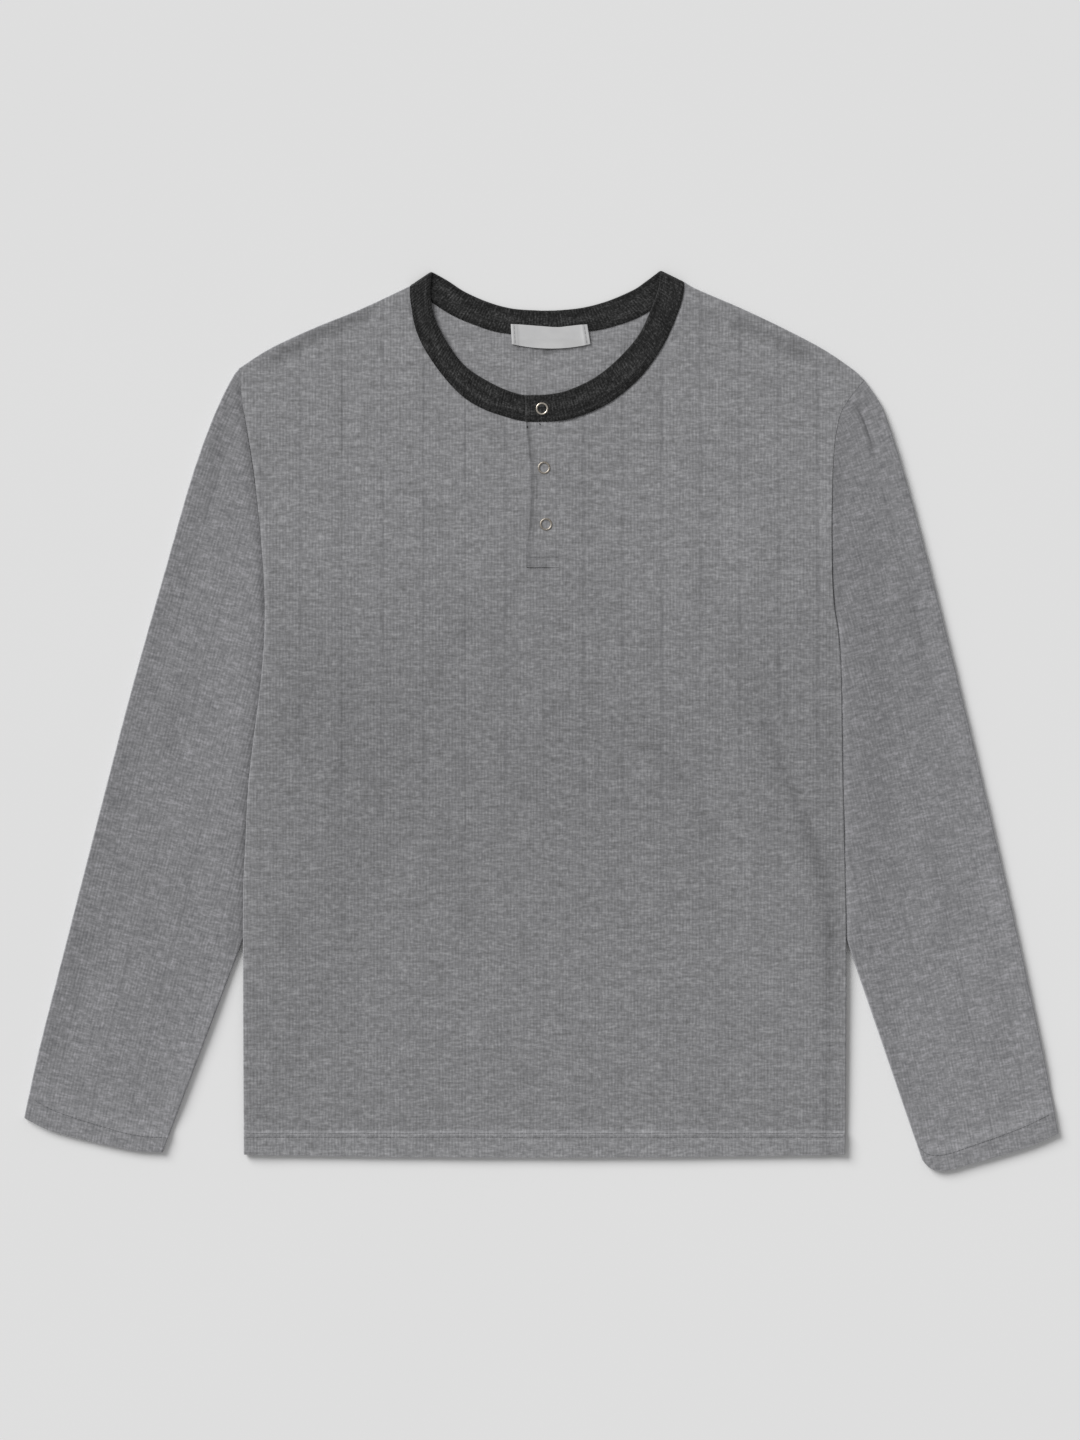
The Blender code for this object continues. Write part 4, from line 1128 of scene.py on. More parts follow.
@dataclass
class Sleeve:
    """A long sleeve, pressed flat, from the armhole seam to the open cuff."""

    half: Half
    panel_edge: Array  # of the front, hem to top
    thick: float = 3.3
    cuff_thick: float = 5.2
    ease: float = 14  # behind the cuff
    # Columns and rows.
    rows: int = 118
    top_shares: Numbers = (0, 0.002, 0.005)
    cuff_rows: Numbers = (11, 6, 2.4, 1, 0)
    across: int = 241  # dense points in a row
    fill: float = 3.2
    first_needle: float = 20
    needle_pitch: float = 32
    needle_count: int = 5
    last_run: float = 44
    last_fills: int = 9
    squeeze: float = 0.35  # between columns pressed together
    squeeze_fade: float = 3
    run_on: float = 60  # of the outer fold's line, past both ends
    # Grooves and waves.
    groove_depth: float = 0.22
    groove_reach: float = 0.8
    # How dark the painted shade in the grooves is.
    groove_shade: float = 0.7
    waves: tuple[Pair, ...] = ((0.18, 80), (0.06, 30))  # height, wavelength
    hem_waves: Pair = (0.12, 15)
    hem_stretch: float = 0.3
    # Puff along the folds, where they are clear of the body.
    puff: float = 1.7
    puff_run: float = 60
    puff_start: float = 0.08  # share of the length
    clear_run: Pair = (0.64, 0.78)
    # The armhole seam, which fades at the shoulder's tip.
    tip_run: Pair = (236, 262)
    gap: float = 0.25  # to the body's edge
    gap_run: Pair = (225, 262)
    gap_closed: float = 0.6
    seam_sink: Pair = (0.3, 1.6)  # depth and width
    sink_faded: float = 0.7
    seam_crest: Hill = Hill(0.15, 5, 2.5)
    below_edge: float = 0.6  # under the body's edge
    edge_closed: float = 0.8
    sewn_low: float = 0.75  # share of the rise at the seam
    sewn_run: Pair = (-0.5, 2.5)
    # Under the body's side fold.
    below_fold: float = 0.7
    fold_run: float = 7
    crest: float = 1.5
    crest_run: Pair = (-0.2, 2.6)
    underarm_run: Pair = (-8, 10)
    swell_run: Pair = (8, 45)
    # Painted shade.
    core: float = 1.4  # place and width of the painted shadow's dark core
    core_takes: float = 0.5
    cloudy: Waves = Waves(0.03, 50, 63)

    def clear(self, x: Array, y: Array) -> Array:
        """How far outside the body's edge each place is."""
        return self.half.sign * x - self.half.side_out(y)

    def armhole(self) -> Array:
        """Lays out the upper end.

        Returns:
            Plan points down the body's armhole seam, and then the end of the hidden tuck.
        """
        half = self.half
        seam = [point[:2] for point in self.panel_edge[::-1] if point[1] > half.underarm_y + 2]
        underarm = np.array([half.sign * float(half.side_out(half.underarm_y)), half.underarm_y])
        points = np.array([*seam, underarm])
        gap = self.gap * (1 - self.gap_closed * step(*self.gap_run, points[:, 1:]))
        tuck = np.array([half.sign * half.tuck.out, half.tuck.y])
        return np.vstack([points + gap * [half.sign, -1], tuck])

    def plan(self) -> tuple[list[Array], Array, Array]:
        """Dense rows across the sleeve.

        Returns:
            Rows of plan points from armhole to cuff, each row's share of the length, and the
            outer fold's curve.
        """
        top = self.armhole()
        fold = self.half.curve(self.half.sleeve_fold)
        fold[0] = top[0]
        cuff = self.half.curve(self.half.cuff)
        inner_edge = np.array([top[-1], cuff[-1]])
        length = lengths(fold)[-1]
        near_cuff = [*(HEM_DEPTH + shift for shift in reversed(STITCH_STEPS)), *self.cuff_rows]
        body = np.linspace(0, 1 - near_cuff[0] / length, self.rows)[1:-1]
        shares = np.array([*self.top_shares, *body, *(1.0 - d / length for d in near_cuff)])
        across = np.linspace(0, 1, self.across)
        upper, lower = along(top, across), along(cuff, across)
        rows = []
        for share in shares:
            start, end = along(fold, [share])[0], along(inner_edge, [share])[0]
            row = upper * (1 - share) + lower * share
            row = row + (1 - across)[:, None] * (start - row[0])
            rows.append(row + across[:, None] * (end - row[-1]))
        return rows, shares, fold

    def places(self, widths: Array) -> tuple[Array, Array, Array]:
        """Distances of the columns from the outer fold, pressed together at the inner edge.

        Args:
            widths: each row's whole width.

        Returns:
            Places (rows x columns), groove shares, and each column's angle round the fold.
        """
        insets = [fold_inset(angle) for angle in FOLD_ANGLES]
        needles = [self.first_needle + self.needle_pitch * k for k in range(self.needle_count)]
        reach = GROOVE_STEPS[0]
        marks = [needle + shift for needle in needles for shift in GROOVE_STEPS]
        gaps = zip([FOLD_RADIUS, *(n + reach for n in needles)], [n - reach for n in needles])
        for start, end in gaps:
            count = max(1, round((end - start) / self.fill))
            marks += list(np.linspace(start, end, count + 1)[1:-1])
        last = needles[-1]
        marks += list(np.linspace(last + reach, last + self.last_run, self.last_fills)[1:])
        marks.sort()
        flat = np.zeros_like(widths)
        columns = [np.full_like(widths, inset) for inset in insets]
        grooves = [flat for _ in insets]
        for index, mark in enumerate(marks):
            limit = widths - FOLD_RADIUS - self.squeeze * (len(marks) - index)
            columns.append(np.minimum(mark, limit))
            depth = sum(float(bump(mark - needle, self.groove_reach)) for needle in needles)
            grooves.append(depth * step(0, self.squeeze_fade, limit - mark))
        columns += [widths - inset for inset in reversed(insets)]
        grooves += [flat for _ in insets]
        angles = [*FOLD_ANGLES, *[90] * len(marks), *reversed(FOLD_ANGLES)]
        return np.stack(columns, 1), np.stack(grooves, 1), np.radians(angles)

    def build(self) -> Piece:
        """Shapes the tube.

        Returns:
            The sleeve.
        """
        rows, shares, fold = self.plan()
        ends = ((fold[0], fold[0] - fold[1]), (fold[-1], fold[-1] - fold[-2]))
        before, after = (end + self.run_on * run / np.linalg.norm(run) for end, run in ends)
        line = along(np.vstack([before, fold, after]), np.linspace(0, 1, 900))
        distances = [np.maximum.accumulate(nearest(line, r[:, 0], r[:, 1])[0]) for r in rows]
        widths = np.array([distance[-1] for distance in distances])
        places, grooves, angles = self.places(widths)
        plan = np.array([
            np.stack([np.interp(place, distance, row[:, axis]) for axis in (0, 1)], -1)
            for place, distance, row in zip(places, distances, rows)
        ])
        towards = plan[:, -1] - plan[:, 0]
        towards = towards / np.linalg.norm(towards, axis=1)[:, None]
        count = plan.shape[1]
        inwards = np.where(np.arange(count) < count / 2, 1.0, -1.0)
        to_cuff = (1 - shares) * lengths(fold)[-1]
        wall = HEM_WALL + (WALL - HEM_WALL) * step(HEM_DEPTH - 0.5, HEM_DEPTH + 2.5, to_cuff)
        half_thick = self.thickness(places, widths, to_cuff, shares) / 2
        rise, level = np.sin(angles)[None, :], np.cos(angles)[None, :]
        shift = (wall[:, None] * level * inwards[None, :])[..., None] * towards[:, None, :]
        top_z = half_thick * (1 + rise) + self.relief(plan, to_cuff) * rise
        low_z = half_thick * (1 - rise)
        wall_z = wall[:, None] * rise
        self.top = with_height(plan, top_z - self.groove_depth * grooves * rise)
        self.to_cuff = to_cuff
        outer_low = with_height(plan, low_z)
        inner_top = with_height(plan + shift, top_z - wall_z)
        inner_low = with_height(plan + shift, low_z + wall_z)
        back = slice(count - 2, 0, -1)  # columns of the lower layer
        dark = self.painted_shade(plan, to_cuff)
        whole = 2 * widths[:, None]
        u = np.concatenate([places, whole - places[:, back], whole], 1)
        facing = nearest(line, plan[..., 0], plan[..., 1])[1] * lengths(line)[-1]
        v = -np.concatenate([facing, facing[:, back], facing[:, :1]], 1)
        outer = np.concatenate([self.top, outer_low[:, back]], 1)
        inner = np.concatenate([inner_top, inner_low[:, back]], 1)
        marks = {
            GROOVE: np.concatenate([grooves, grooves[:, back]], 1) * self.groove_shade,
            SHADE: np.concatenate([dark, np.zeros_like(dark[:, back])], 1),
        }
        name, uv = f"sleeve_{self.half.name}_cloth", np.stack([u, v], -1)
        return Shell(name, outer, inner, uv, marks, wrap=True).build()

    def thickness(self, places: Array, widths: Array, to_cuff: Array, shares: Array) -> Array:
        """Flattens the tube.

        Args:
            places: distance of each point from the outer fold.
            widths: each row's whole width.
            to_cuff: each row's distance from the cuff.
            shares: each row's share of the length.

        Returns:
            Whole height at each place.
        """
        behind_cuff = step(HEM_DEPTH, HEM_DEPTH + self.ease, to_cuff)
        thick = self.cuff_thick + (self.thick - self.cuff_thick) * behind_cuff
        clear = step(*self.clear_run, shares)[:, None]
        swell = bump(places, PUFF_REACH) * step(0, self.puff_start, shares)[:, None]
        swell += bump(widths[:, None] - places, PUFF_REACH) * clear
        return thick[:, None] + swell * self.puff * step(HEM_DEPTH, self.puff_run, to_cuff)[:, None]

    def relief(self, plan: Array, to_cuff: Array) -> Array:
        """Creases, waves and the sunk armhole seam, on the sleeve's upper side.

        Args:
            plan: points on the plan.
            to_cuff: each row's distance from the cuff.

        Returns:
            What they add to its height.
        """
        x, y = plan[..., 0], plan[..., 1]
        total = sum(crease.at(x, y) for crease in SLEEVE_CREASES[self.half.name])
        seed = WAVE_SEEDS[self.half.name]
        for index, (height, wavelength) in enumerate(self.waves):
            total += Waves(height, wavelength, seed + index).at(x, y)
        near_hem = bump(to_cuff - HEM_DEPTH, HEM_WAVES)[:, None]
        hem_waves = Waves(*self.hem_waves, seed + len(self.waves))
        total += hem_waves.at(x, self.hem_stretch * y, near_hem)
        seam, _ = nearest(self.armhole()[:-1], x, y)
        sink, width = self.seam_sink
        sunk = sink * (1 - self.sink_faded * step(*self.tip_run, y))
        total = total - sunk * bump(seam, width) + self.seam_crest.at(seam)
        return total + self.swell(x, y)

    def swell(self, x: Array, y: Array) -> Array:
        """Brings the sleeve up beside the body's edge, and level with it where they are sewn.

        Args:
            x, y: places on the plan.

        Returns:
            The rise at each place.
        """
        clear = self.clear(x, y)
        edge_z = np.interp(y, self.panel_edge[:, 1], self.panel_edge[:, 2])
        tip = step(*self.tip_run, y)
        below = self.below_edge * (1 - self.edge_closed * tip)
        sewn = np.maximum(edge_z - below - self.thick, 0)
        close = np.maximum(tip, step(*self.sewn_run, clear))
        sewn = sewn * (self.sewn_low + (1 - self.sewn_low) * close)
        tucked = np.maximum(edge_z - self.below_fold - self.thick, 0)
        tucked = tucked * step(-self.fold_run, 0, clear)
        tucked = tucked + self.crest * step(*self.crest_run, clear)
        above = step(*self.underarm_run, y - self.half.underarm_y)
        across = (tucked + (sewn - tucked) * above) * (1 - step(*self.swell_run, clear))
        share = SWELL_SHARES[self.half.name]
        return (share + (1 - share) * tip) * across

    def painted_shade(self, plan: Array, to_cuff: Array) -> Array:
        """Paints shade in the upper side's troughs and along the sleeve, and a shadow beside the
        body.

        Args:
            plan: points on the plan.
            to_cuff: each row's distance from the cuff.

        Returns:
            Painted shade, from 0 to 1.
        """
        x, y = plan[..., 0], plan[..., 1]
        name = self.half.name
        deep = -sum(crease.at(x, y) for crease in SLEEVE_CREASES[name])
        clear = np.maximum(self.clear(x, y), 0)
        core = SHADE_CORES[name]
        wide = (1 - self.core_takes * core) * bump(clear, SHADE_REACH[name])
        beside = painted_shade_along(BODY_SHADES[name], y) * (wide + core * bump(clear - self.core, self.core))
        even = painted_shade_along(SLEEVE_PAINTED_SHADE[name], to_cuff)[:, None] + self.cloudy.at(x, y)
        return np.clip(even + TROUGH_SHADE * np.clip(deep, 0, 1) + beside, 0, 1)


# -------- neckband


@dataclass
class Neckband:
    """The doubled rib strip round the neck, its two ends lapped at the placket."""

    pitch: float = 3  # distance between stations
    width: float = 20
    fold_steps: int = 12
    lap: Pair = (-13, 12)  # X where the upper and the lower end stop
    upper_end_drop: float = 1
    lower_end_bottom: float = 1.55
    lower_end_rise: float = 1.25
    lower_end_run: Pair = (14, 58)
    edge_gap: float = 0.2
    rounded: float = 0.10  # share of the width
    seam_low: float = 0.72  # share of the thickness at the seam
    stitch_place: float = 0.20  # share of the width, from the seam
    stitch_sink: float = 0.28
    # Painted shade on the rolled edges, and the painted shadow that the front band casts on the
    # back stretch beside the fold.
    rolled_edge_shade: float = 0.8
    fold_shadow: float = 0.6
    fold_shade: float = 9  # width of the painted shadow at the back
    end_pressed: float = 0.55  # share of its thickness at the end
    end_run: float = 0.3  # share of a station's pitch
    waves: Waves = Waves(0.10, 26, 41)
    waves_run: Pair = (1.4, 2.4)  # Z
    middle: int = 8  # the point of a ring that lengths follow
    stitched_above: float = 2  # Z past which stitches show
    top_places: Numbers = (
        0, 0.03, 0.09, 0.15, 0.18, 0.20, 0.22, 0.25, 0.32, 0.44, 0.57, 0.70, 0.81, 0.89, 0.95,
        0.985,
    )

    def height(self, half: Half, x: Array) -> Array:
        """Height of the front band's middle.

        Args:
            half: its half.
            x: places along it.

        Returns:
            Its height at each place.
        """
        if half.sign > 0:
            drop = self.upper_end_drop * step(*UPPER_END_RUN, x)
            return BAND_THICK / 2 + UPPER_END_BOTTOM - drop
        rise = self.lower_end_rise * step(*self.lower_end_run, -x)
        return BAND_THICK / 2 + self.lower_end_bottom + rise

    def run(
        self, half: Half, seam_rows: Sequence[Point], free_rows: Sequence[Point], stop_x: float
    ) -> tuple[Array, Array]:
        """Stations of one stretch of the band, from the shoulder's peak.

        Args:
            half: its half.
            seam_rows: its seam on the panel.
            free_rows: its folded edge.
            stop_x: where it ends.

        Returns:
            Plan points on the seam and on the free edge.
        """
        curves = [half.curve(table) for table in (seam_rows, free_rows)]
        stops = [
            float(np.interp(-half.sign * stop_x, -half.sign * curve[:, 0], lengths(curve)))
            for curve in curves
        ]
        shares = np.linspace(0, 1, round(stops[0] / self.pitch))
        ends = [stop / lengths(curve)[-1] for curve, stop in zip(curves, stops)]
        return tuple(along(curve, shares * end) for curve, end in zip(curves, ends))

    def section(self) -> Array:
        """Draws the band's cross-section.

        Returns:
            For each point, its place across the band and its height as a share of the thickness:
            over the top from the seam, round the folded edge and back beneath.
        """
        places = np.array(self.top_places)
        past = np.maximum(places - (1 - self.rounded), 0)
        crown = np.sqrt(np.clip(1 - (past / self.rounded) ** 2, 0, 1))
        crown *= self.seam_low + (1 - self.seam_low) * step(0, 0.06, places)
        crown = 0.5 * crown
        sunk = self.stitch_sink / BAND_THICK * bump(places - self.stitch_place, 0.035)
        top = np.stack([places, crown - sunk], 1)
        low = np.stack([places, -crown], 1)[::-1]
        return np.vstack([top, [[1, 0]], low])

    def half_rings(self, half: Half) -> tuple[list[Array], list[float]]:
        """Rings of one half of the band: from its free end, over the peak, to the back's middle.

        Args:
            half: which half.

        Returns:
            The rings, and how far along the band each is.
        """
        stop_x = self.lap[0 if half.sign > 0 else 1]
        front_seam, front_free = self.run(half, half.neck_front, half.band_front, stop_x)
        back_seam, back_free = self.run(half, half.neck_back, half.band_back, 0)
        front_z = self.height(half, front_seam[:, 0])
        back_z = np.full(len(back_seam), BAND_THICK / 2.0)
        radius = (front_z[0] - back_z[0]) / 2
        line = front_free[0] - front_seam[0]
        line = line / np.linalg.norm(line)
        outwards = np.array([-line[1], line[0]])
        outwards = outwards * np.sign(outwards[1])
        inset = radius + BAND_THICK / 2
        for points in (front_seam, front_free, back_seam, back_free):
            run = points[1] - points[0]
            points[0] = points[0] + run * min(inset / abs(run @ outwards), 0.9)
        front_seam, back_seam = (
            seam + self.edge_gap * (free - seam) / np.linalg.norm(free - seam, axis=1)[:, None]
            for seam, free in ((front_seam, front_free), (back_seam, back_free))
        )
        up = np.array([0.0, 0.0, 1.0])
        front = zip(front_seam[::-1], front_free[::-1], front_z[::-1])
        stations = [(*station, up) for station in front]
        axis_z = (front_z[0] + back_z[0]) / 2
        for index in range(1, self.fold_steps):
            share = index / self.fold_steps
            reach, rise = math.sin(math.pi * share), math.cos(math.pi * share)
            bulge = outwards * radius * reach
            seam = front_seam[0] + (back_seam[0] - front_seam[0]) * share + bulge
            free = front_free[0] + (back_free[0] - front_free[0]) * share + bulge
            normal = np.array([*(outwards * reach), rise])
            stations.append((seam, free, axis_z + radius * rise, normal))
        stations += [(*station, -up) for station in zip(back_seam, back_free, back_z)]
        section = self.section()
        rings, places = [], [0]
        for seam, free, z, normal in stations:
            start = np.array([*seam, z])
            across = np.array([*free, z]) - start
            rings.append(start + across * section[:, :1] + normal * BAND_THICK * section[:, 1:])
        for before, after in zip(rings, rings[1:]):
            stretch = after[self.middle] - before[self.middle]
            places.append(places[-1] + float(np.linalg.norm(stretch)))
        return rings, places

    def build(self) -> Piece:
        """Joins the two halves into one closed strip.

        Returns:
            The band.
        """
        under, under_run = self.half_rings(RIGHT)
        over, over_run = self.half_rings(LEFT)
        over.insert(1, over[0] + (over[1] - over[0]) * self.end_run)
        over_run.insert(1, over_run[1] * self.end_run)
        foot = over[0][:, 2].min()
        over[0][:, 2] = foot + (over[0][:, 2] - foot) * self.end_pressed
        rings = np.array([*under, *over[::-1][1:]])
        whole = under_run[-1] + over_run[-1]
        run = np.array([*under_run, *(whole - place for place in over_run[::-1][1:])])
        begun = step(*self.waves_run, rings[..., 2])
        rings[..., 2] += self.waves.at(rings[..., 0], rings[..., 1]) * begun
        self.over = np.array(over[::-1])
        self.under = np.array(under)
        return self.tube(rings, run)

    def tube(self, rings: Array, run: Array) -> Piece:
        """Makes a closed strip from rings, capped at both ends.

        Args:
            rings: points round the strip, ring by ring.
            run: how far along the band each ring is.

        Returns:
            The strip.
        """
        stations, around = rings.shape[:2]
        row, column = np.meshgrid(np.arange(stations - 1), np.arange(around), indexing="ij")
        after = (column + 1) % around
        corners = [(row, column), (row, after), (row + 1, after), (row + 1, column)]
        faces = np.stack([r * around + c for r, c in corners], -1).reshape(-1, 4)
        mesh = bpy.data.meshes.new("neckband_cloth")
        caps = [np.arange(around) + start for start in (0, (stations - 1) * around)]
        mesh.from_pydata(rings.reshape(-1, 3) * MM, [], [*faces, *caps])
        place, height = self.section().T
        across = np.concatenate([[0], np.cumsum(np.abs(np.diff(place)))]) * self.width
        across = [*across, across[-1] + 0.4]
        cloth = np.stack(np.broadcast_arrays(run[:, None], across), -1)
        corners = [(row, column), (row, column + 1), (row + 1, column + 1), (row + 1, column)]
        uv = np.stack([cloth[corner] for corner in corners], -2).reshape(-1, 2)
        # The groove mark paints shade in the topstitched groove; the shade mark paints shade on the
        # rolled edges and the front band's shadow on the back stretch.
        sunk = bump(place - self.stitch_place, 0.03) * (height > 0)
        rolled = self.rolled_edge_shade * np.maximum(bump(place, 0.13), bump(1 - place, 0.17))
        low = rings[:, :, 2].mean(1) < BAND_THICK  # the back stretch
        turned = np.flatnonzero(np.diff(low.astype(int)))
        beside = np.min([np.abs(run - run[index]) for index in turned], 0)
        shaded = self.fold_shadow * np.where(low, bump(beside, self.fold_shade), 0.0)
        dark = np.clip(rolled + shaded[:, None], 0, 1)
        marks = {GROOVE: np.broadcast_to(sunk, dark.shape), SHADE: dark}
        dress_mesh(mesh, np.concatenate([uv, cloth[0, :-1], cloth[-1, :-1]]), marks)
        return finished("neckband_cloth", mesh, 60)

    def stitch_line(self, half: Half) -> Array:
        """Sews down the front band of one half.

        Args:
            half: left or right.

        Returns:
            Points of the topstitching, from the free end.
        """
        rings = self.over if half.sign > 0 else self.under
        line = rings[:, self.top_places.index(self.stitch_place)]
        return line[rings[:, self.middle, 2] > self.stitched_above + BAND_THICK / 2]


# -------- placket and label


def strip(name: str, plan: Array, top: Array, bottom: Array, **marks: Array) -> Piece:
    """Makes a strip of cloth between two heights over plan points."""
    return Shell(name, with_height(plan, top), with_height(plan, bottom), plan, marks).build()


@dataclass
class Placket:
    """The snap placket: an upper strip, its free edge bowed, over a narrower one."""

    edge: tuple[Spot, ...] = (
        Spot(-12.4, 237.8), Spot(-10.8, 222), Spot(-8.2, 194), Spot(-8.8, 164.4),
        Spot(-11.6, 139.6), Spot(-12.4, 122.8),
    )
    near_edges: Numbers = (0, 0.02, 0.05, 0.1)  # places of columns across a strip
    stitch_rows: Pair = (123.4, 130.2)
    stitch_reach: float = 0.8
    stitch_sink: float = 0.22
    # Painted shade in the two sunk stitch rows.
    stitch_shades: Pair = (0.2, 0.5)
    dent: Hill = Hill(0.35, 0, 6)  # round a snap
    edge_round: Hill = Hill(0.55, 0, 0.9)
    edge_swell: Hill = Hill(0.14, 3.6, 1.8)
    crease: Hill = Hill(0.2, 5, 1.1)  # beside the free edge
    right_sink: Hill = Hill(0.25, 0, 2)
    least: float = 0.6  # thickness
    edge_gap: float = 0.1
    band_run: float = 20  # where it fits the neckband, from the top
    foot_lift: float = 0.9  # where it comes up over the front
    foot_run: float = 5
    waves: Waves = Waves(0.12, 24, 51)
    # Painted shade along the free edge, which lifts towards the neck.
    edge_shade: Pair = (0.3, 2.2)  # place and width
    lifted: Pair = (0.4, 0.3)  # darker and narrower by
    # Less painted shade where the edge lies flat.
    flat_light: float = 0.45
    flat_run: float = 12
    crease_shade: Pair = (0.25, 1.2)
    crease_runs: Numbers = (140, 160, 195, 215)  # Y: fades in, fades out
    foot_shades: Pair = (0.4, 0.08)  # painted shade of the stitches, and all over the foot
    foot_fade: Pair = (6, 14)
    # Stitch lines across the foot.
    box_lefts: Pair = (-11.2, -10.8)
    box_right: float = 12.9
    box_climbs: Pair = (0.2, 0.6)

    def grid(self, left: Array, right: float, y: Array, columns: int) -> Array:
        """Lays out a strip.

        Args:
            left: X of its left edge at each row.
            right: X of its right edge.
            y: the rows.
            columns: how many it has, apart from those near its edges.

        Returns:
            Its plan points.
        """
        near = np.array(self.near_edges)
        share = np.unique([*near, *np.linspace(near[-1], 1 - near[-1], columns), *(1 - near)])
        x = left[:, None] + (right - left)[:, None] * share[None, :]
        return np.stack(np.broadcast_arrays(x, y[:, None]), -1)

    def upper(self) -> Piece:
        """Shapes the strip that shows.

        Returns:
            The strip.
        """
        curve = spline([(spot.y, spot.x) for spot in self.edge[::-1]])
        reach = self.stitch_reach
        marks = [row + shift for row in self.stitch_rows for shift in (-reach, 0, reach)]
        foot = CHEST_Y + 0.05
        y = np.unique([*np.linspace(foot, PLACKET_TOP_Y, 90), *marks])
        y = y[y >= foot]
        right = SLIT[1] - 0.03
        plan = self.grid(np.interp(y, curve[:, 0], curve[:, 1]), right, y, 18)
        x, y = plan[..., 0], plan[..., 1]
        seam = LEFT.curve(LEFT.neck_front)[::-1]
        to_band = np.interp(x, seam[:, 0], seam[:, 1]) - self.edge_gap - PLACKET_TOP_Y
        y += to_band * step(PLACKET_TOP_Y - self.band_run, PLACKET_TOP_Y, y)
        from_edge = x - x[:, :1]
        top = STRIP_TOP - self.edge_round.at(from_edge)
        top = top + self.edge_swell.at(from_edge) - self.crease.at(from_edge)
        top = top - self.right_sink.at(right - x)
        for snap in SNAPS[1:]:
            top = top - self.dent.at(np.hypot(x - snap.x, y - snap.y))
        low_row, high_row = (bump(y - row, reach) for row in self.stitch_rows)
        top = top - self.stitch_sink * (low_row + high_row) + self.waves.at(x, y)
        from_foot = np.clip((y - foot) / self.foot_run, 0, 1)
        bottom = UPPER_BOTTOM + self.foot_lift * (1 - from_foot)
        groove = self.stitch_shades[0] * low_row + self.stitch_shades[1] * high_row
        top = np.maximum(top, bottom + self.least)
        dark = self.painted_shade(from_edge, y)
        return strip("placket_upper_cloth", plan, top, bottom, groove=groove, shade=dark)

    def painted_shade(self, from_edge: Array, y: Array) -> Array:
        """Paints shade along the free edge, in the crease beside it and over the foot.

        Args:
            from_edge: distance of each place from the free edge.
            y: places on the plan.

        Returns:
            Painted shade, from 0 to 1.
        """
        lifted = step(self.edge[2].y, self.edge[0].y, y)
        flat = 1 - step(self.edge[5].y, self.edge[4].y + self.flat_run, y)
        (place, width), (darker, narrower) = self.edge_shade, self.lifted
        edge = 1 + darker * lifted - self.flat_light * flat
        edge = edge * bump(from_edge - place, width - narrower * lifted)
        middle = step(*self.crease_runs[:2], y) * (1 - step(*self.crease_runs[2:], y))
        tone, wide = self.crease_shade
        crease = tone * middle * bump(from_edge - self.crease.place, wide)
        foot = self.foot_shades[0] * bump(y - self.stitch_rows[1], self.stitch_reach)
        faded = step(*(PLACKET_FOOT_Y + rise for rise in self.foot_fade), y)
        foot = foot + self.foot_shades[1] * (1 - faded)
        return np.clip(painted_shade_along(BODY_PAINTED_SHADE, y) + edge + crease + foot, 0, 1)

    def under(self) -> Piece:
        """Makes the strip that's sewn to the other side of the slit.

        Returns:
            The strip beneath.
        """
        y = np.linspace(PLACKET_FOOT_Y, PLACKET_TOP_Y, 30)
        plan = self.grid(np.full_like(y, SLIT[0] + SEAM), SLIT[1] - 2 * SEAM, y, 5)
        bottom = np.full(plan.shape[:2], UNDER_BOTTOM)
        return strip("placket_under_cloth", plan, bottom + PLACKET_THICK, bottom)

    def thread_ends(self) -> list[Array]:
        """Two ends of the neckband's thread, left on the strip just below it."""
        ends = (((-11.4, 235.6), (-11.6, 234)), ((-1.6, 237.4), (-0.8, 236.2)))
        return [np.array([[x, y, STRIP_TOP + 0.1] for x, y in end]) for end in ends]

    def box_lines(self) -> list[Array]:
        """Sews down the foot of the placket.

        Returns:
            Lines of stitches across it.
        """
        top = STRIP_TOP - self.stitch_sink
        return [
            np.array([[left, row, top], [self.box_right, row + climb, top]])
            for left, row, climb in zip(self.box_lefts, self.stitch_rows, self.box_climbs)
        ]


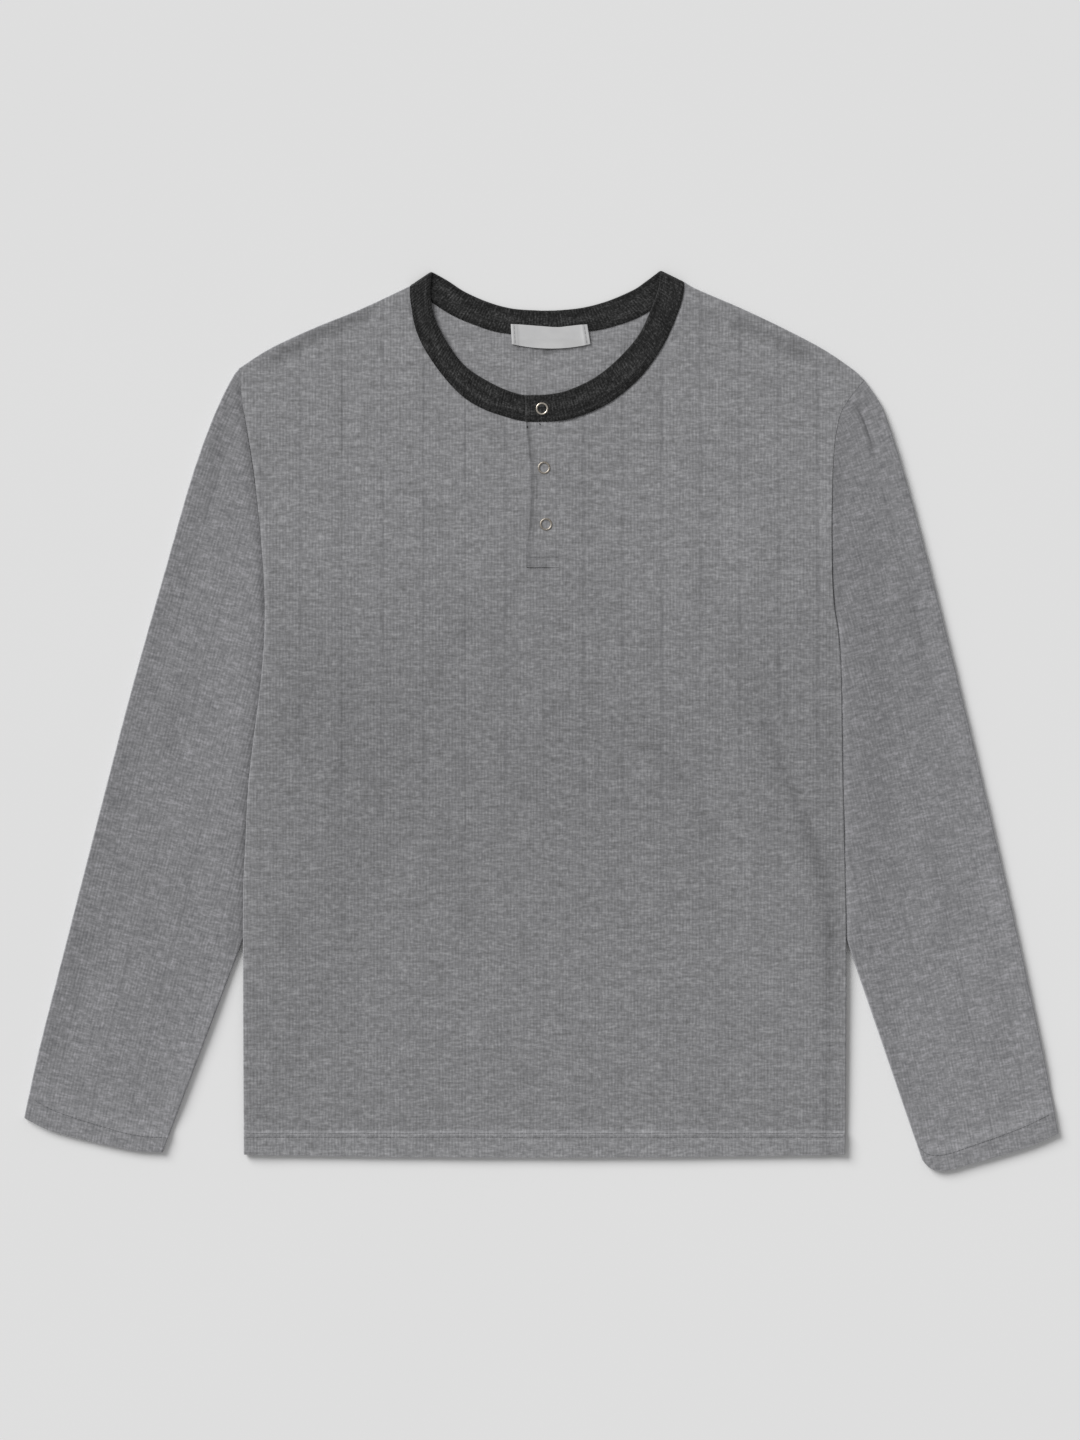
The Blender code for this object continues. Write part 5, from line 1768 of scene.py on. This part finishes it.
@dataclass
class NeckLabel:
    """A blank woven label, its ends folded under and sewn, hanging over the back panel."""

    left: float = -23.7
    right: float = 37.4
    lean: float = 0.9  # to the left, at the foot
    slant: float = 1.7  # outwards, at the foot's right
    top_y: float = 317.2
    foot_y: float = 301
    bow: float = 3.6
    thick: float = 0.55
    end_fold: float = 5
    stitch_inset: float = 2.6
    ends: Numbers = (0, 0.008, 0.02, 0.036, 0.05, 0.072, 0.082, 0.09)  # columns
    # Dips of the upper edge.
    dip_places: Numbers = (0, 0.13, 0.55, 0.64, 0.9, 1)
    dips: Numbers = (0.2, 0.6, 2.6, 2.7, 0.8, 0.5)
    # The foot stands off the panel.
    hanging: tuple[float, float, float] = (297, 304, 305.5)  # Y
    belly: Hill = Hill(0.75, 6.5, 24)

    def place(self, share: Array, down: Array) -> Array:
        """Lays out the label.

        Args:
            share: shares of its width, from the left.
            down: shares of its drop, from the upper edge.

        Returns:
            Plan points.
        """
        foot = self.foot_y - self.bow * (1 - (2 * share - 1) ** 2)
        top = self.top_y - np.interp(share, self.dip_places, self.dips)
        x = self.left + (self.right - self.left) * share - self.lean * (1 - down)
        x = x + self.slant * share * down
        return np.stack(np.broadcast_arrays(x, top + (foot - top) * down), -1)

    def underside(self, plan: Array) -> Array:
        """Hangs the label from the band, free of the panel at its foot.

        Args:
            plan: points on the plan.

        Returns:
            Height of its back at each point.
        """
        y = plan[..., 1]
        loose, hung, seated = self.hanging
        on_band, on_panel = BAND_THICK + SEAM, WALL + SEAM + 0.1
        low = on_panel + (on_band - on_panel) * step(loose, seated, y)
        return low + self.belly.at(plan[..., 0]) * (1 - step(loose, hung, y))

    def build(self) -> Piece:
        """Shapes the tape.

        Returns:
            The label.
        """
        ends = self.ends
        share = np.unique([*ends, *np.linspace(0.12, 0.88, 26), *(1 - end for end in ends)])
        share, down = np.broadcast_arrays(share[None, :], np.linspace(1, 0, 16)[:, None])
        plan = self.place(share, down)
        low = self.underside(plan)
        across = (self.right - self.left) * share
        inside = np.minimum(across, self.right - self.left - across)
        doubled = 1 - step(self.end_fold - 0.3, self.end_fold + 0.3, inside)
        top = low + self.thick * (1 + 0.6 * doubled)
        stitched = inside - self.stitch_inset
        top = top - 0.25 * bump(inside, 0.5) - 0.2 * bump(stitched, 0.5)
        # The groove mark paints shade along the sunk stitch lines.
        return strip("label_cloth", plan, top, low, groove=bump(stitched, 0.6))

    def stitch_lines(self) -> list[Array]:
        """Sews down the label's ends.

        Returns:
            A row of stitching for each end.
        """
        lines = []
        for x in (self.left + self.stitch_inset, self.right - self.stitch_inset):
            share = (x - self.left) / (self.right - self.left)
            plan = self.place(np.full(9, share), np.linspace(0.06, 0.94, 9))
            lines.append(with_height(plan, self.underside(plan) + self.thick * 1.6 - 0.1))
        return lines


# -------- snaps and sewing


@dataclass(frozen=True)
class Snap:
    """An open-ring snap, pressed through the cloth, seen from its face."""

    node: str
    x: float
    y: float
    seat: float  # height of the cloth it sits on
    radius: float = 5
    wall: float = 1.4
    height: float = 0.8
    proud: float = 1.3  # made this much higher, to sink in
    lip: Pair = (0.07, 0.05)  # width and height

    def build(self) -> Piece:
        """Shapes the ring: a flattened torus with a rolled inner lip, set a little into the cloth.

        Returns:
            The ring.
        """
        deselect()
        bpy.ops.mesh.primitive_torus_add(
            major_segments=48, minor_segments=16,
            major_radius=(self.radius - self.wall / 2) * MM, minor_radius=self.wall / 2 * MM,
            location=(self.x * MM, self.y * MM, (self.seat + 0.1) * MM),
        )
        ring = bpy.context.object
        ring.name = f"{self.node}_ring"
        bpy.ops.object.transform_apply(location=True, rotation=True, scale=True)
        bpy.ops.object.mode_set(mode="EDIT")
        bpy.ops.mesh.select_all(action="SELECT")
        bpy.ops.transform.resize(
            value=(1, 1, self.height * self.proud / self.wall),
            center_override=(self.x * MM, self.y * MM, self.seat * MM),
        )
        builder = bmesh.from_edit_mesh(ring.data)
        inner = (self.radius - self.wall * 0.78) * MM
        for face in builder.faces:
            middle = face.calc_center_median()
            away = math.hypot(middle.x - self.x * MM, middle.y - self.y * MM)
            face.select = away < inner and middle.z > self.seat * MM
        bmesh.update_edit_mesh(ring.data)
        bpy.ops.mesh.inset(thickness=self.lip[0] * MM, depth=self.lip[1] * MM)
        bpy.ops.object.mode_set(mode="OBJECT")
        ring.data.shade_smooth()
        return ring


STRIP_TOP = UPPER_BOTTOM + PLACKET_THICK
SNAPS = (
    Snap("snap_1", 0.4, 249.2, BAND_THICK + UPPER_END_BOTTOM),
    Snap("snap_2", 2, 202, STRIP_TOP),
    Snap("snap_3", 3.6, 156.8, STRIP_TOP),
)


@dataclass(frozen=True)
class Seam:
    """Rows of separate stitches laid along lines."""

    name: str
    pitch: float = 3
    length: float = 2.3
    radius: float = 0.2
    sides: int = 6
    tip: float = 0.5  # thickness left at its ends
    dip: float = 0.9  # of its ends, in radii
    slope: float = 0.3  # share of a pitch, each way

    def stitch(self) -> tuple[Array, Array]:
        """One stitch along +X: a short thread that dips into the cloth at both ends.

        Returns:
            Its points in millimetres, and its faces, always in the same order.
        """
        deselect()
        bpy.ops.mesh.primitive_cylinder_add(
            vertices=self.sides, radius=self.radius, depth=self.length
        )
        thread = bpy.context.object
        bpy.ops.object.mode_set(mode="EDIT")
        bpy.ops.mesh.select_all(action="SELECT")
        bpy.ops.transform.rotate(value=math.pi / 2, orient_axis="Y", center_override=(0, 0, 0))
        builder = bmesh.from_edit_mesh(thread.data)
        for face in builder.faces:
            face.select = len(face.verts) == self.sides
        bmesh.update_edit_mesh(thread.data)
        bpy.ops.mesh.extrude_region_shrink_fatten(TRANSFORM_OT_shrink_fatten={"value": self.radius})
        bpy.ops.object.mode_set(mode="OBJECT")
        points = np.array([vert.co[:] for vert in thread.data.vertices])
        ends = np.abs(points[:, 0]) > self.length / 2 + 1e-6
        points[ends, 1] *= self.tip
        points[ends, 2] = points[ends, 2] * self.tip - self.radius * self.dip
        faces = []
        for polygon in thread.data.polygons:
            corners = list(polygon.vertices)
            first = corners.index(min(corners))
            faces.append(corners[first:] + corners[:first])
        bpy.data.objects.remove(thread, do_unlink=True)
        triangles = [(f[0], f[k], f[k + 1]) for f in sorted(faces) for k in range(1, len(f) - 1)]
        return points, np.array(triangles)

    def build(self, lines: Sequence[Array]) -> Piece:
        """Lays stitches along lines and joins them.

        Args:
            lines: dense 3-D points of each row.

        Returns:
            All the stitches as one object.
        """
        stitch, triangles = self.stitch()
        points, faces, count = [], [], 0
        for line in lines:
            total = lengths(line)[-1]
            number = max(1, int(total // self.pitch))
            middles = (np.arange(number) + 0.5) / number
            reach = self.slope * self.pitch / total
            ends = along(line, np.clip(middles + reach, 0, 1))
            starts = along(line, np.clip(middles - reach, 0, 1))
            for start, end, place in zip(starts, ends, along(line, middles)):
                forward = (end - start) / np.linalg.norm(end - start)
                aside = np.cross([0, 0, 1], forward)
                aside = aside / max(np.linalg.norm(aside), 1e-6)
                up = np.cross(forward, aside)
                points.append(place + stitch @ np.stack([forward, aside, up]))
                faces.append(triangles + count * len(stitch))
                count += 1
        mesh = bpy.data.meshes.new(self.name)
        mesh.from_pydata(np.concatenate(points) * MM, [], np.concatenate(faces))
        return finished(self.name, mesh, 80)


# -------- finishes


def linear(code: str) -> Numbers:
    """Turns an sRGB hex value linear.

    Args:
        code: the hex value.

    Returns:
        The colour, with full alpha.
    """
    parts = [int(code[index : index + 2], 16) / 255 for index in (1, 3, 5)]
    light = [p / 12.92 if p <= 0.04045 else ((p + 0.055) / 1.055) ** 2.4 for p in parts]
    return (*light, 1)


def fill(node: bpy.types.Node, inputs: dict[Any, Any]) -> None:
    """Sets a node's sockets, or feeds those that are given an output.

    Args:
        node: the node.
        inputs: values or outputs, by socket.
    """
    for name, value in inputs.items():
        if isinstance(value, Socket):
            node.id_data.links.new(value, node.inputs[name])
        else:
            node.inputs[name].default_value = value


def add_node(
    tree: Tree,
    kind: str,
    inputs: Optional[dict[Any, Any]] = None,
    output: Any = 0,
    **settings: Any,
) -> Socket:
    """Adds a node to a material.

    Args:
        tree: the material's node tree.
        kind: the node's type, without the ShaderNode that it begins with.
        inputs: a number, colour or vector for each socket, or the output that feeds it.
        output: which of its outputs is wanted.
        settings: its properties.

    Returns:
        That output.
    """
    node = tree.nodes.new(f"ShaderNode{kind}")
    for name, value in settings.items():
        setattr(node, name, value)
    fill(node, inputs or {})
    return node.outputs[output]


def set_stops(colour: Socket, *stops: tuple[float, str]) -> Socket:
    """Gives a colour ramp its stops.

    Args:
        colour: the ramp's output.
        stops: the place and hex colour of the first and the last, then of those between.

    Returns:
        The same output.
    """
    elements = colour.node.color_ramp.elements
    for element, (place, code) in zip(list(elements), stops):
        element.position, element.color = place, linear(code)
    for place, code in stops[2:]:
        elements.new(place).color = linear(code)
    return colour


def new_material(name: str) -> tuple[bpy.types.Material, Tree, bpy.types.Node]:
    """Makes an empty material.

    Args:
        name: its name.

    Returns:
        The material, its node tree and its Principled shader.
    """
    material = bpy.data.materials.new(name)
    material.use_nodes = True
    tree = material.node_tree
    return material, tree, tree.nodes["Principled BSDF"]


def uneven(tree: Tree, uv: Socket, size: Pair, detail: float) -> Socket:
    """Adds uneven patches to a cloth.

    Args:
        tree: the material's node tree.
        uv: places on the flat cloth, in metres.
        size: a patch's size in millimetres, across and along the ribs.
        detail: how many times finer patches are laid over it.

    Returns:
        A value from about 0.3 to 0.7.
    """
    scale = (1 / (size[0] * MM), 1 / (size[1] * MM), 1)
    place = add_node(tree, "Mapping", {"Vector": uv, "Scale": scale})
    inputs = {"Vector": place, "Scale": 1, "Detail": detail, "Roughness": 0.62}
    return add_node(tree, "TexNoise", inputs, noise_dimensions="2D")


def blended(tree: Tree, factor: Socket, colour: Socket, other: Numbers) -> Socket:
    """Goes from a colour to another fixed one by a factor."""
    return add_node(tree, "Mix", {"Factor": factor, 6: colour, 7: other}, 2, data_type="RGBA")


def darkened(tree: Tree, colour: Socket, where: Socket, share: float) -> Socket:
    """Takes up to a share of the light out of a colour, where a value is 1."""
    factor = add_node(tree, "Math", {0: where, 1: share}, operation="MULTIPLY")
    return blended(tree, factor, colour, (0, 0, 0, 1))


@dataclass(frozen=True)
class RibKnit:
    """Melange cotton jersey, knitted as a fine rib.

    Grey and pale fibres are spun together, so the yarn shows short streaks along the courses. The
    ribs stand up the length of the piece, and a needle left empty makes a fine groove. The finish
    paints shade into the ribs' valleys and down the grooves, and a highlight on the folds.
    """

    name: str
    dark: str
    middle: str
    light: str
    line: str  # colour of the painted shade down a dropped-needle groove
    pale: str = "#C4C4C8"  # colour of the painted highlight on folds
    # Sizes of uneven patches, in mm across and along the ribs.
    streak: Pair = (6, 1.7)
    stitch: Pair = (1.5, 6)
    cloud: Pair = (24, 4.5)
    rib_patch: Pair = (9, 15)
    line_patch: Pair = (11, 38)
    shares: tuple[float, float, float] = (0.5, 0.24, 0.26)  # of streaks, clouds and stitches
    spread: Pair = (0.32, 0.68)
    rib_pitch: float = 2.6  # the real ribs are 1.7 mm apart, too fine to show
    # How much painted shade the ribs' valleys get.
    rib_valley_shade: float = 0.1
    rib_height: float = 0.11  # mm
    rib_streaks: float = 0.5  # how much streaks roughen ribs
    line_run: Pair = (0.38, 0.66)
    broken: Pair = (0.1, 0.45)  # depth of the painted groove shade, by place
    # How dark the painted shade mark can make the cloth.
    shade_depth: float = 0.5
    sheen: float = 0.25
    fold_highlight: float = 0.5  # strength of the painted highlight on folds

    def build(self) -> bpy.types.Material:
        """Mixes the finish.

        Returns:
            The material.
        """
        material, tree, shader = new_material(self.name)
        uv = add_node(tree, "UVMap", uv_map=UV_NAME)
        fibres = uneven(tree, uv, self.streak, 3)
        yarn = self.yarn(tree, uv, fibres)
        ribs = self.ribs(tree, uv)
        colour = self.groove_shaded(tree, uv, self.ribbed(tree, uv, yarn, ribs))
        shade = add_node(tree, "Attribute", output="Fac", attribute_name=SHADE)
        colour = self.highlight_folds(tree, darkened(tree, colour, shade, self.shade_depth))
        inputs = {0: fibres, 1: self.rib_streaks, 2: ribs}
        height = add_node(tree, "Math", inputs, operation="MULTIPLY_ADD")
        inputs = {"Strength": 0.8, "Distance": self.rib_height * MM, "Height": height}
        fill(shader, {
            "Base Color": colour, "Normal": add_node(tree, "Bump", inputs),
            "Roughness": 0.95, "Specular IOR Level": 0.18,
            "Sheen Weight": self.sheen, "Sheen Roughness": 0.55, "Sheen Tint": linear(self.light),
        })
        return material

    def yarn(self, tree: Tree, uv: Socket, fibres: Socket) -> Socket:
        """Spins the melange, from dark to light fibres.

        Args:
            tree: the material's node tree.
            uv: places on the flat cloth, in metres.
            fibres: its streaks.

        Returns:
            The yarn's colour.
        """
        stitches = uneven(tree, uv, self.stitch, 1)
        clouds = uneven(tree, uv, self.cloud, 2)
        tone = add_node(tree, "Math", {0: fibres, 1: self.shares[0]}, operation="MULTIPLY")
        for patches, share in zip((clouds, stitches), self.shares[1:]):
            inputs = {0: patches, 1: share, 2: tone}
            tone = add_node(tree, "Math", inputs, operation="MULTIPLY_ADD")
        ends, centre = zip(self.spread, (self.dark, self.light)), sum(self.spread) / 2
        return set_stops(add_node(tree, "ValToRGB", {0: tone}), *ends, (centre, self.middle))

    def ribs(self, tree: Tree, uv: Socket) -> Socket:
        """Rounds the ribs along the piece.

        Args:
            tree: the material's node tree.
            uv: places on the flat cloth, in metres.

        Returns:
            A value from 0 in the valleys to 1 on top.
        """
        across = add_node(tree, "SeparateXYZ", {0: uv}, "X")
        inputs = {0: across, 1: 2 * math.pi / (self.rib_pitch * MM)}
        turns = add_node(tree, "Math", inputs, operation="MULTIPLY")
        wave = add_node(tree, "Math", {0: turns}, operation="SINE")
        return add_node(tree, "Math", {0: wave, 1: 0.5, 2: 0.5}, operation="MULTIPLY_ADD")

    def ribbed(self, tree: Tree, uv: Socket, yarn: Socket, ribs: Socket) -> Socket:
        """Paints shade in the valleys, in some places more than in others.

        Args:
            tree: the material's node tree.
            uv: places on the flat cloth, in metres.
            yarn: the yarn's colour.
            ribs: height of the ribs, from 0 to 1.

        Returns:
            The ribbed cloth's colour.
        """
        patches = uneven(tree, uv, self.rib_patch, 1)
        valleys = add_node(tree, "Math", {0: 1, 1: ribs}, operation="SUBTRACT")
        shown = add_node(tree, "Math", {0: valleys, 1: patches}, operation="MULTIPLY")
        return darkened(tree, yarn, shown, self.rib_valley_shade)

    def groove_shaded(self, tree: Tree, uv: Socket, cloth: Socket) -> Socket:
        """Paints shade down the dropped-needle grooves, unevenly.

        Args:
            tree: the material's node tree.
            uv: places on the flat cloth, in metres.
            cloth: the cloth's colour.

        Returns:
            The colour with its painted groove shade.
        """
        groove = add_node(tree, "Attribute", output="Fac", attribute_name=GROOVE)
        values = (uneven(tree, uv, self.line_patch, 4), *self.line_run, *self.broken)
        gaps = add_node(tree, "MapRange", dict(enumerate(values)))
        depth = add_node(tree, "Math", {0: groove, 1: gaps}, operation="MULTIPLY")
        return blended(tree, depth, cloth, linear(self.line))

    def highlight_folds(self, tree: Tree, cloth: Socket) -> Socket:
        """Paints a highlight on the folds, stronger where the cloth turns further from facing up.

        Args:
            tree: the material's node tree.
            cloth: the cloth's colour.

        Returns:
            The colour with its painted highlight.
        """
        facing = add_node(tree, "NewGeometry", output="Normal")
        level = add_node(tree, "SeparateXYZ", {0: facing}, "Z")
        size = add_node(tree, "Math", {0: level}, operation="ABSOLUTE")
        turned = add_node(tree, "Math", {0: 1, 1: size}, operation="SUBTRACT")
        amount = add_node(tree, "Math", {0: turned, 1: self.fold_highlight}, operation="MULTIPLY")
        return blended(tree, amount, cloth, linear(self.pale))


@dataclass(frozen=True)
class SnapMetal:
    """Brass stamped into a ring and plated with nickel, which leaves it warm and softly bright."""

    name: str
    colour: str
    worn: str
    roughness: Pair  # of its smoothest and its roughest places

    def build(self) -> bpy.types.Material:
        """Mixes the finish.

        Returns:
            The material.
        """
        material, tree, shader = new_material(self.name)
        place = add_node(tree, "TexCoord", output="Object")
        wear = add_node(tree, "TexNoise", {"Vector": place, "Scale": 900, "Detail": 3})
        ramp = add_node(tree, "ValToRGB", {0: wear})
        tone = set_stops(ramp, (0.3, self.worn), (0.6, self.colour))
        low, high = self.roughness
        rough = add_node(tree, "MapRange", {"Value": wear, "To Min": low, "To Max": high})
        fill(shader, {"Base Color": tone, "Roughness": rough, "Metallic": 1})
        return material


@dataclass(frozen=True)
class LabelWeave:
    """Polyester label tape, woven plain: pale, smooth, with a faint satin across the threads."""

    name: str = "woven_label_tape"
    colour: str = "#B8B8B9"
    pale: str = "#C6C6C6"
    thread: float = 0.8  # the real threads are 0.25 mm apart, too fine to show
    patch: Pair = (14, 9)
    # How dark the painted shade along the sunk stitch lines is.
    groove_depth: float = 0.35
    relief: float = 0.06  # mm

    def build(self) -> bpy.types.Material:
        """Mixes the finish.

        Returns:
            The material.
        """
        material, tree, shader = new_material(self.name)
        uv = add_node(tree, "UVMap", uv_map=UV_NAME)
        soft = uneven(tree, uv, self.patch, 2)
        scale = math.pi / 10 / (self.thread * MM)
        inputs = {"Vector": uv, "Scale": scale, "Distortion": 0.4}
        weave = add_node(tree, "TexWave", inputs, "Fac", bands_direction="Y")
        ramp = add_node(tree, "ValToRGB", {0: soft})
        tone = set_stops(ramp, (0, self.colour), (1, self.pale))
        groove = add_node(tree, "Attribute", output="Fac", attribute_name=GROOVE)
        colour = darkened(tree, tone, groove, self.groove_depth)
        inputs = {"Strength": 0.5, "Distance": self.relief * MM, "Height": weave}
        fill(shader, {
            "Base Color": colour, "Normal": add_node(tree, "Bump", inputs),
            "Roughness": 0.62, "Sheen Weight": 0.15,
        })
        return material


@dataclass(frozen=True)
class Thread:
    """Spun polyester sewing thread, matched to the cloth that it sews."""

    name: str
    colour: str
    shaded: str  # colour between the twists

    def build(self) -> bpy.types.Material:
        """Mixes the finish.

        Returns:
            The material.
        """
        material, tree, shader = new_material(self.name)
        place = add_node(tree, "TexCoord", output="Object")
        twist = add_node(tree, "TexNoise", {"Vector": place, "Scale": 1500, "Detail": 1})
        ramp = add_node(tree, "ValToRGB", {0: twist})
        tone = set_stops(ramp, (0, self.shaded), (1, self.colour))
        fill(shader, {"Base Color": tone, "Roughness": 0.7})
        return material


JERSEY = RibKnit("rib_jersey_cloth", "#727273", "#88888A", "#A4A4A6", line="#565658")
SLEEVE_JERSEY = RibKnit(
    "rib_jersey_sleeve_cloth", "#727275", "#878789", "#A3A2A6", line="#565658", broken=(0, 0.4)
)
NECK_RIB = RibKnit(
    "neck_rib_cloth", "#111111", "#2C2C2C", "#565656", line="#101010", pale="#5A5A5A",
    streak=(2, 1.2), stitch=(1.4, 5), rib_pitch=2.4, rib_valley_shade=0.5, rib_height=0.22,
    broken=(0.5, 0.8), sheen=0.12,
)
BRIGHT_RING = SnapMetal("nickel_plated_brass", "#D6CFC4", "#B3A898", (0.22, 0.44))
# A darker copy of the same plated finish, for the two snaps on the strip.
DARKER_RING = SnapMetal("darker_nickel", "#B4ADA3", "#8C8377", (0.34, 0.56))
GREY_THREAD = Thread("grey_thread", "#7F7F82", "#626264")
DARK_THREAD = Thread("charcoal_thread", "#2A2B2C", "#18191A")
PALE_THREAD = Thread("label_thread", "#A2A2A4", "#848486")


# -------- studio


@dataclass(frozen=True)
class Studio:
    """Pale floor, soft daylight from the upper left and a camera that looks straight down."""

    centre: Spot = Spot(-1.2, 0.4)
    frame_height: float = 1152
    camera_distance: float = 5  # metres
    sensor: float = 36
    floor_size: float = 40  # metres
    floor_colours: tuple[str, str] = ("#E4E4E4", "#E6E6E6")
    sky_colour: str = "#FFFFFF"
    sky_strength: float = 0.393
    sun_angle: float = 36
    sun_height: float = 35  # degrees above the floor
    sun_bearing: float = 138  # degrees from +X towards +Y
    sun_strength: float = 2.97

    def floor(self) -> None:
        """Lays the floor."""
        deselect()
        bpy.ops.mesh.primitive_plane_add(size=self.floor_size, location=(0, 0, 0))
        floor = bpy.context.object
        floor.name = "floor"
        material, tree, shader = new_material("matt_paper")
        place = add_node(tree, "TexCoord", output="Object")
        grain = add_node(tree, "TexNoise", {"Vector": place, "Scale": 3, "Detail": 2})
        ramp = add_node(tree, "ValToRGB", {0: grain})
        tone = set_stops(ramp, *zip((0, 1), self.floor_colours))
        fill(shader, {"Base Color": tone, "Roughness": 1, "Specular IOR Level": 0})
        floor.data.materials.append(material)

    def lights(self) -> None:
        """Hangs the sun and fills the shadows from a plain sky."""
        sun = bpy.data.lights.new("window_light", "SUN")
        sun.energy = self.sun_strength
        sun.angle = math.radians(self.sun_angle)
        lamp = bpy.data.objects.new("window_light", sun)
        bearing = math.radians(self.sun_bearing)
        lamp.rotation_euler = (0, math.radians(90 - self.sun_height), bearing)
        bpy.context.scene.collection.objects.link(lamp)
        world = bpy.data.worlds.new("plain_sky")
        bpy.context.scene.world = world
        world.use_nodes = True
        sky = {"Color": linear(self.sky_colour), "Strength": self.sky_strength}
        fill(world.node_tree.nodes["Background"], sky)
        bpy.context.scene.view_settings.view_transform = "Standard"

    def camera(self) -> None:
        """Sets the camera straight above, as high as the frame needs."""
        view = bpy.data.cameras.new("overhead")
        view.sensor_fit = "VERTICAL"
        view.sensor_height = self.sensor
        view.lens = self.sensor * self.camera_distance / (self.frame_height * MM)
        view.clip_end = 100
        camera = bpy.data.objects.new("overhead", view)
        camera.location = (self.centre.x * MM, self.centre.y * MM, self.camera_distance)
        bpy.context.scene.collection.objects.link(camera)
        bpy.context.scene.camera = camera


# -------- the shirt


@dataclass
class Henley:
    """The whole shirt: builds each piece, dresses it and ties it to its frame node."""

    body: LaidBody = field(default_factory=LaidBody)
    count: int = 0
    # Stitch lines of the hem and cuffs.
    hem_run: Pair = (-236, 241)
    hem_gap: float = 3
    hem_points: int = 400
    cuff_inset: int = 6  # in points of a row
    hem_thread: Numbers = (3.4, 2.7, 0.24)  # pitch, length and radius
    hem_proud: float = 0.1  # out of the cloth
    band_proud: float = 0.05

    def place(
        self,
        piece: Piece,
        material: bpy.types.Material,
        slot: Slot,
        node: Optional[str] = None,
    ) -> Piece:
        """Dresses a piece and gives it its place in the frame.

        Args:
            piece: the new piece.
            material: its finish.
            slot: the record's slot for it; not used.
            node: the frame node that it stands for, if any.

        Returns:
            The piece.
        """
        piece.data.materials.clear()
        piece.data.materials.append(material)
        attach(piece, "root")
        if node is not None:
            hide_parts(node)
        self.count += 1
        log.info("%s: %d faces", piece.name, len(piece.data.polygons))
        return piece

    def build_body(self) -> None:
        """Lays the two panels and the sleeves, and sews the turned-up hem and cuffs."""
        cloth, sleeve_cloth = JERSEY.build(), SLEEVE_JERSEY.build()
        back = BodyPanel(Layer.BACK, self.body, row_pitch=6, side_fills=8, fill=6.5)
        back_piece = self.place(back.build(), cloth, Slot.JERSEY, "back")
        front = BodyPanel(Layer.FRONT, self.body)
        front_piece = self.place(front.build(), cloth, Slot.JERSEY, "front")
        cuffs = []
        for half in HALVES:
            sleeve = Sleeve(half, front.edge[half.sign])
            piece = self.place(sleeve.build(), sleeve_cloth, Slot.JERSEY, f"sleeve_{half.name}")
            row = int(np.abs(sleeve.to_cuff - HEM_DEPTH).argmin())
            line = sleeve.top[row][self.cuff_inset : -self.cuff_inset]
            cuffs.append(line + [0, 0, self.hem_proud])
        thread = GREY_THREAD.build()
        for name, lines in (("hem_stitches", self.hem_lines()), ("cuff_stitches", cuffs)):
            self.place(Seam(name, *self.hem_thread).build(lines), thread, Slot.JERSEY)

    def hem_lines(self) -> list[Array]:
        """Sews the hem, on the front's face.

        Returns:
            Its two rows of stitches.
        """
        lines = []
        x = np.linspace(*self.hem_run, self.hem_points)
        first = np.full_like(x, HEM_CORNER_Y + HEM_DEPTH)
        for y in (first, first - self.hem_gap):
            face = self.body.face(x, y) - self.body.groove_depth * self.body.grooves(x, y)
            lines.append(np.stack([x, y, face + self.hem_proud], -1))
        return lines

    def build_neck(self) -> None:
        """Sews on the neckband and the label."""
        band = Neckband()
        piece = self.place(band.build(), NECK_RIB.build(), Slot.NECK, "neckband")
        lines = [band.stitch_line(half) + [0, 0, self.band_proud] for half in HALVES]
        stitches = Seam("neckband_topstitch").build(lines)
        self.place(stitches, DARK_THREAD.build(), Slot.NECK)
        label = NeckLabel()
        tape = self.place(label.build(), LabelWeave().build(), Slot.LABEL, "label")
        ends = Seam("label_stitches").build(label.stitch_lines())
        self.place(ends, PALE_THREAD.build(), Slot.LABEL)

    def build_placket(self) -> None:
        """Sews on the placket and presses in its snaps."""
        cloth, thread, dark_thread = (
            bpy.data.materials[finish.name] for finish in (JERSEY, GREY_THREAD, DARK_THREAD)
        )
        placket = Placket()
        for build, node, width in (
            (placket.under, "placket_under", 0.0173), (placket.upper, "placket_upper", 0.0245)
        ):
            piece = self.place(build(), cloth, Slot.JERSEY, node)
        self.place(Seam("placket_stitches").build(placket.box_lines()), thread, Slot.JERSEY)
        knots = Seam("thread_ends", pitch=1.5, length=0.9, radius=0.4).build(placket.thread_ends())
        self.place(knots, dark_thread, Slot.NECK)
        bright, dull = BRIGHT_RING.build(), DARKER_RING.build()
        for snap in SNAPS:
            ring = dull if snap.y < PLACKET_TOP_Y else bright
            self.place(snap.build(), ring, Slot.METAL, snap.node)


def main() -> None:
    """Builds the studio and the shirt."""
    logging.basicConfig(level=logging.INFO, format="%(message)s")
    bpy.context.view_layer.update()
    studio = Studio()
    studio.floor()
    studio.lights()
    studio.camera()
    shirt = Henley()
    shirt.build_body()
    shirt.build_neck()
    shirt.build_placket()
    deselect()
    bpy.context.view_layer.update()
    log.info("%d pieces", shirt.count)


if __name__ == "__main__":
    main()
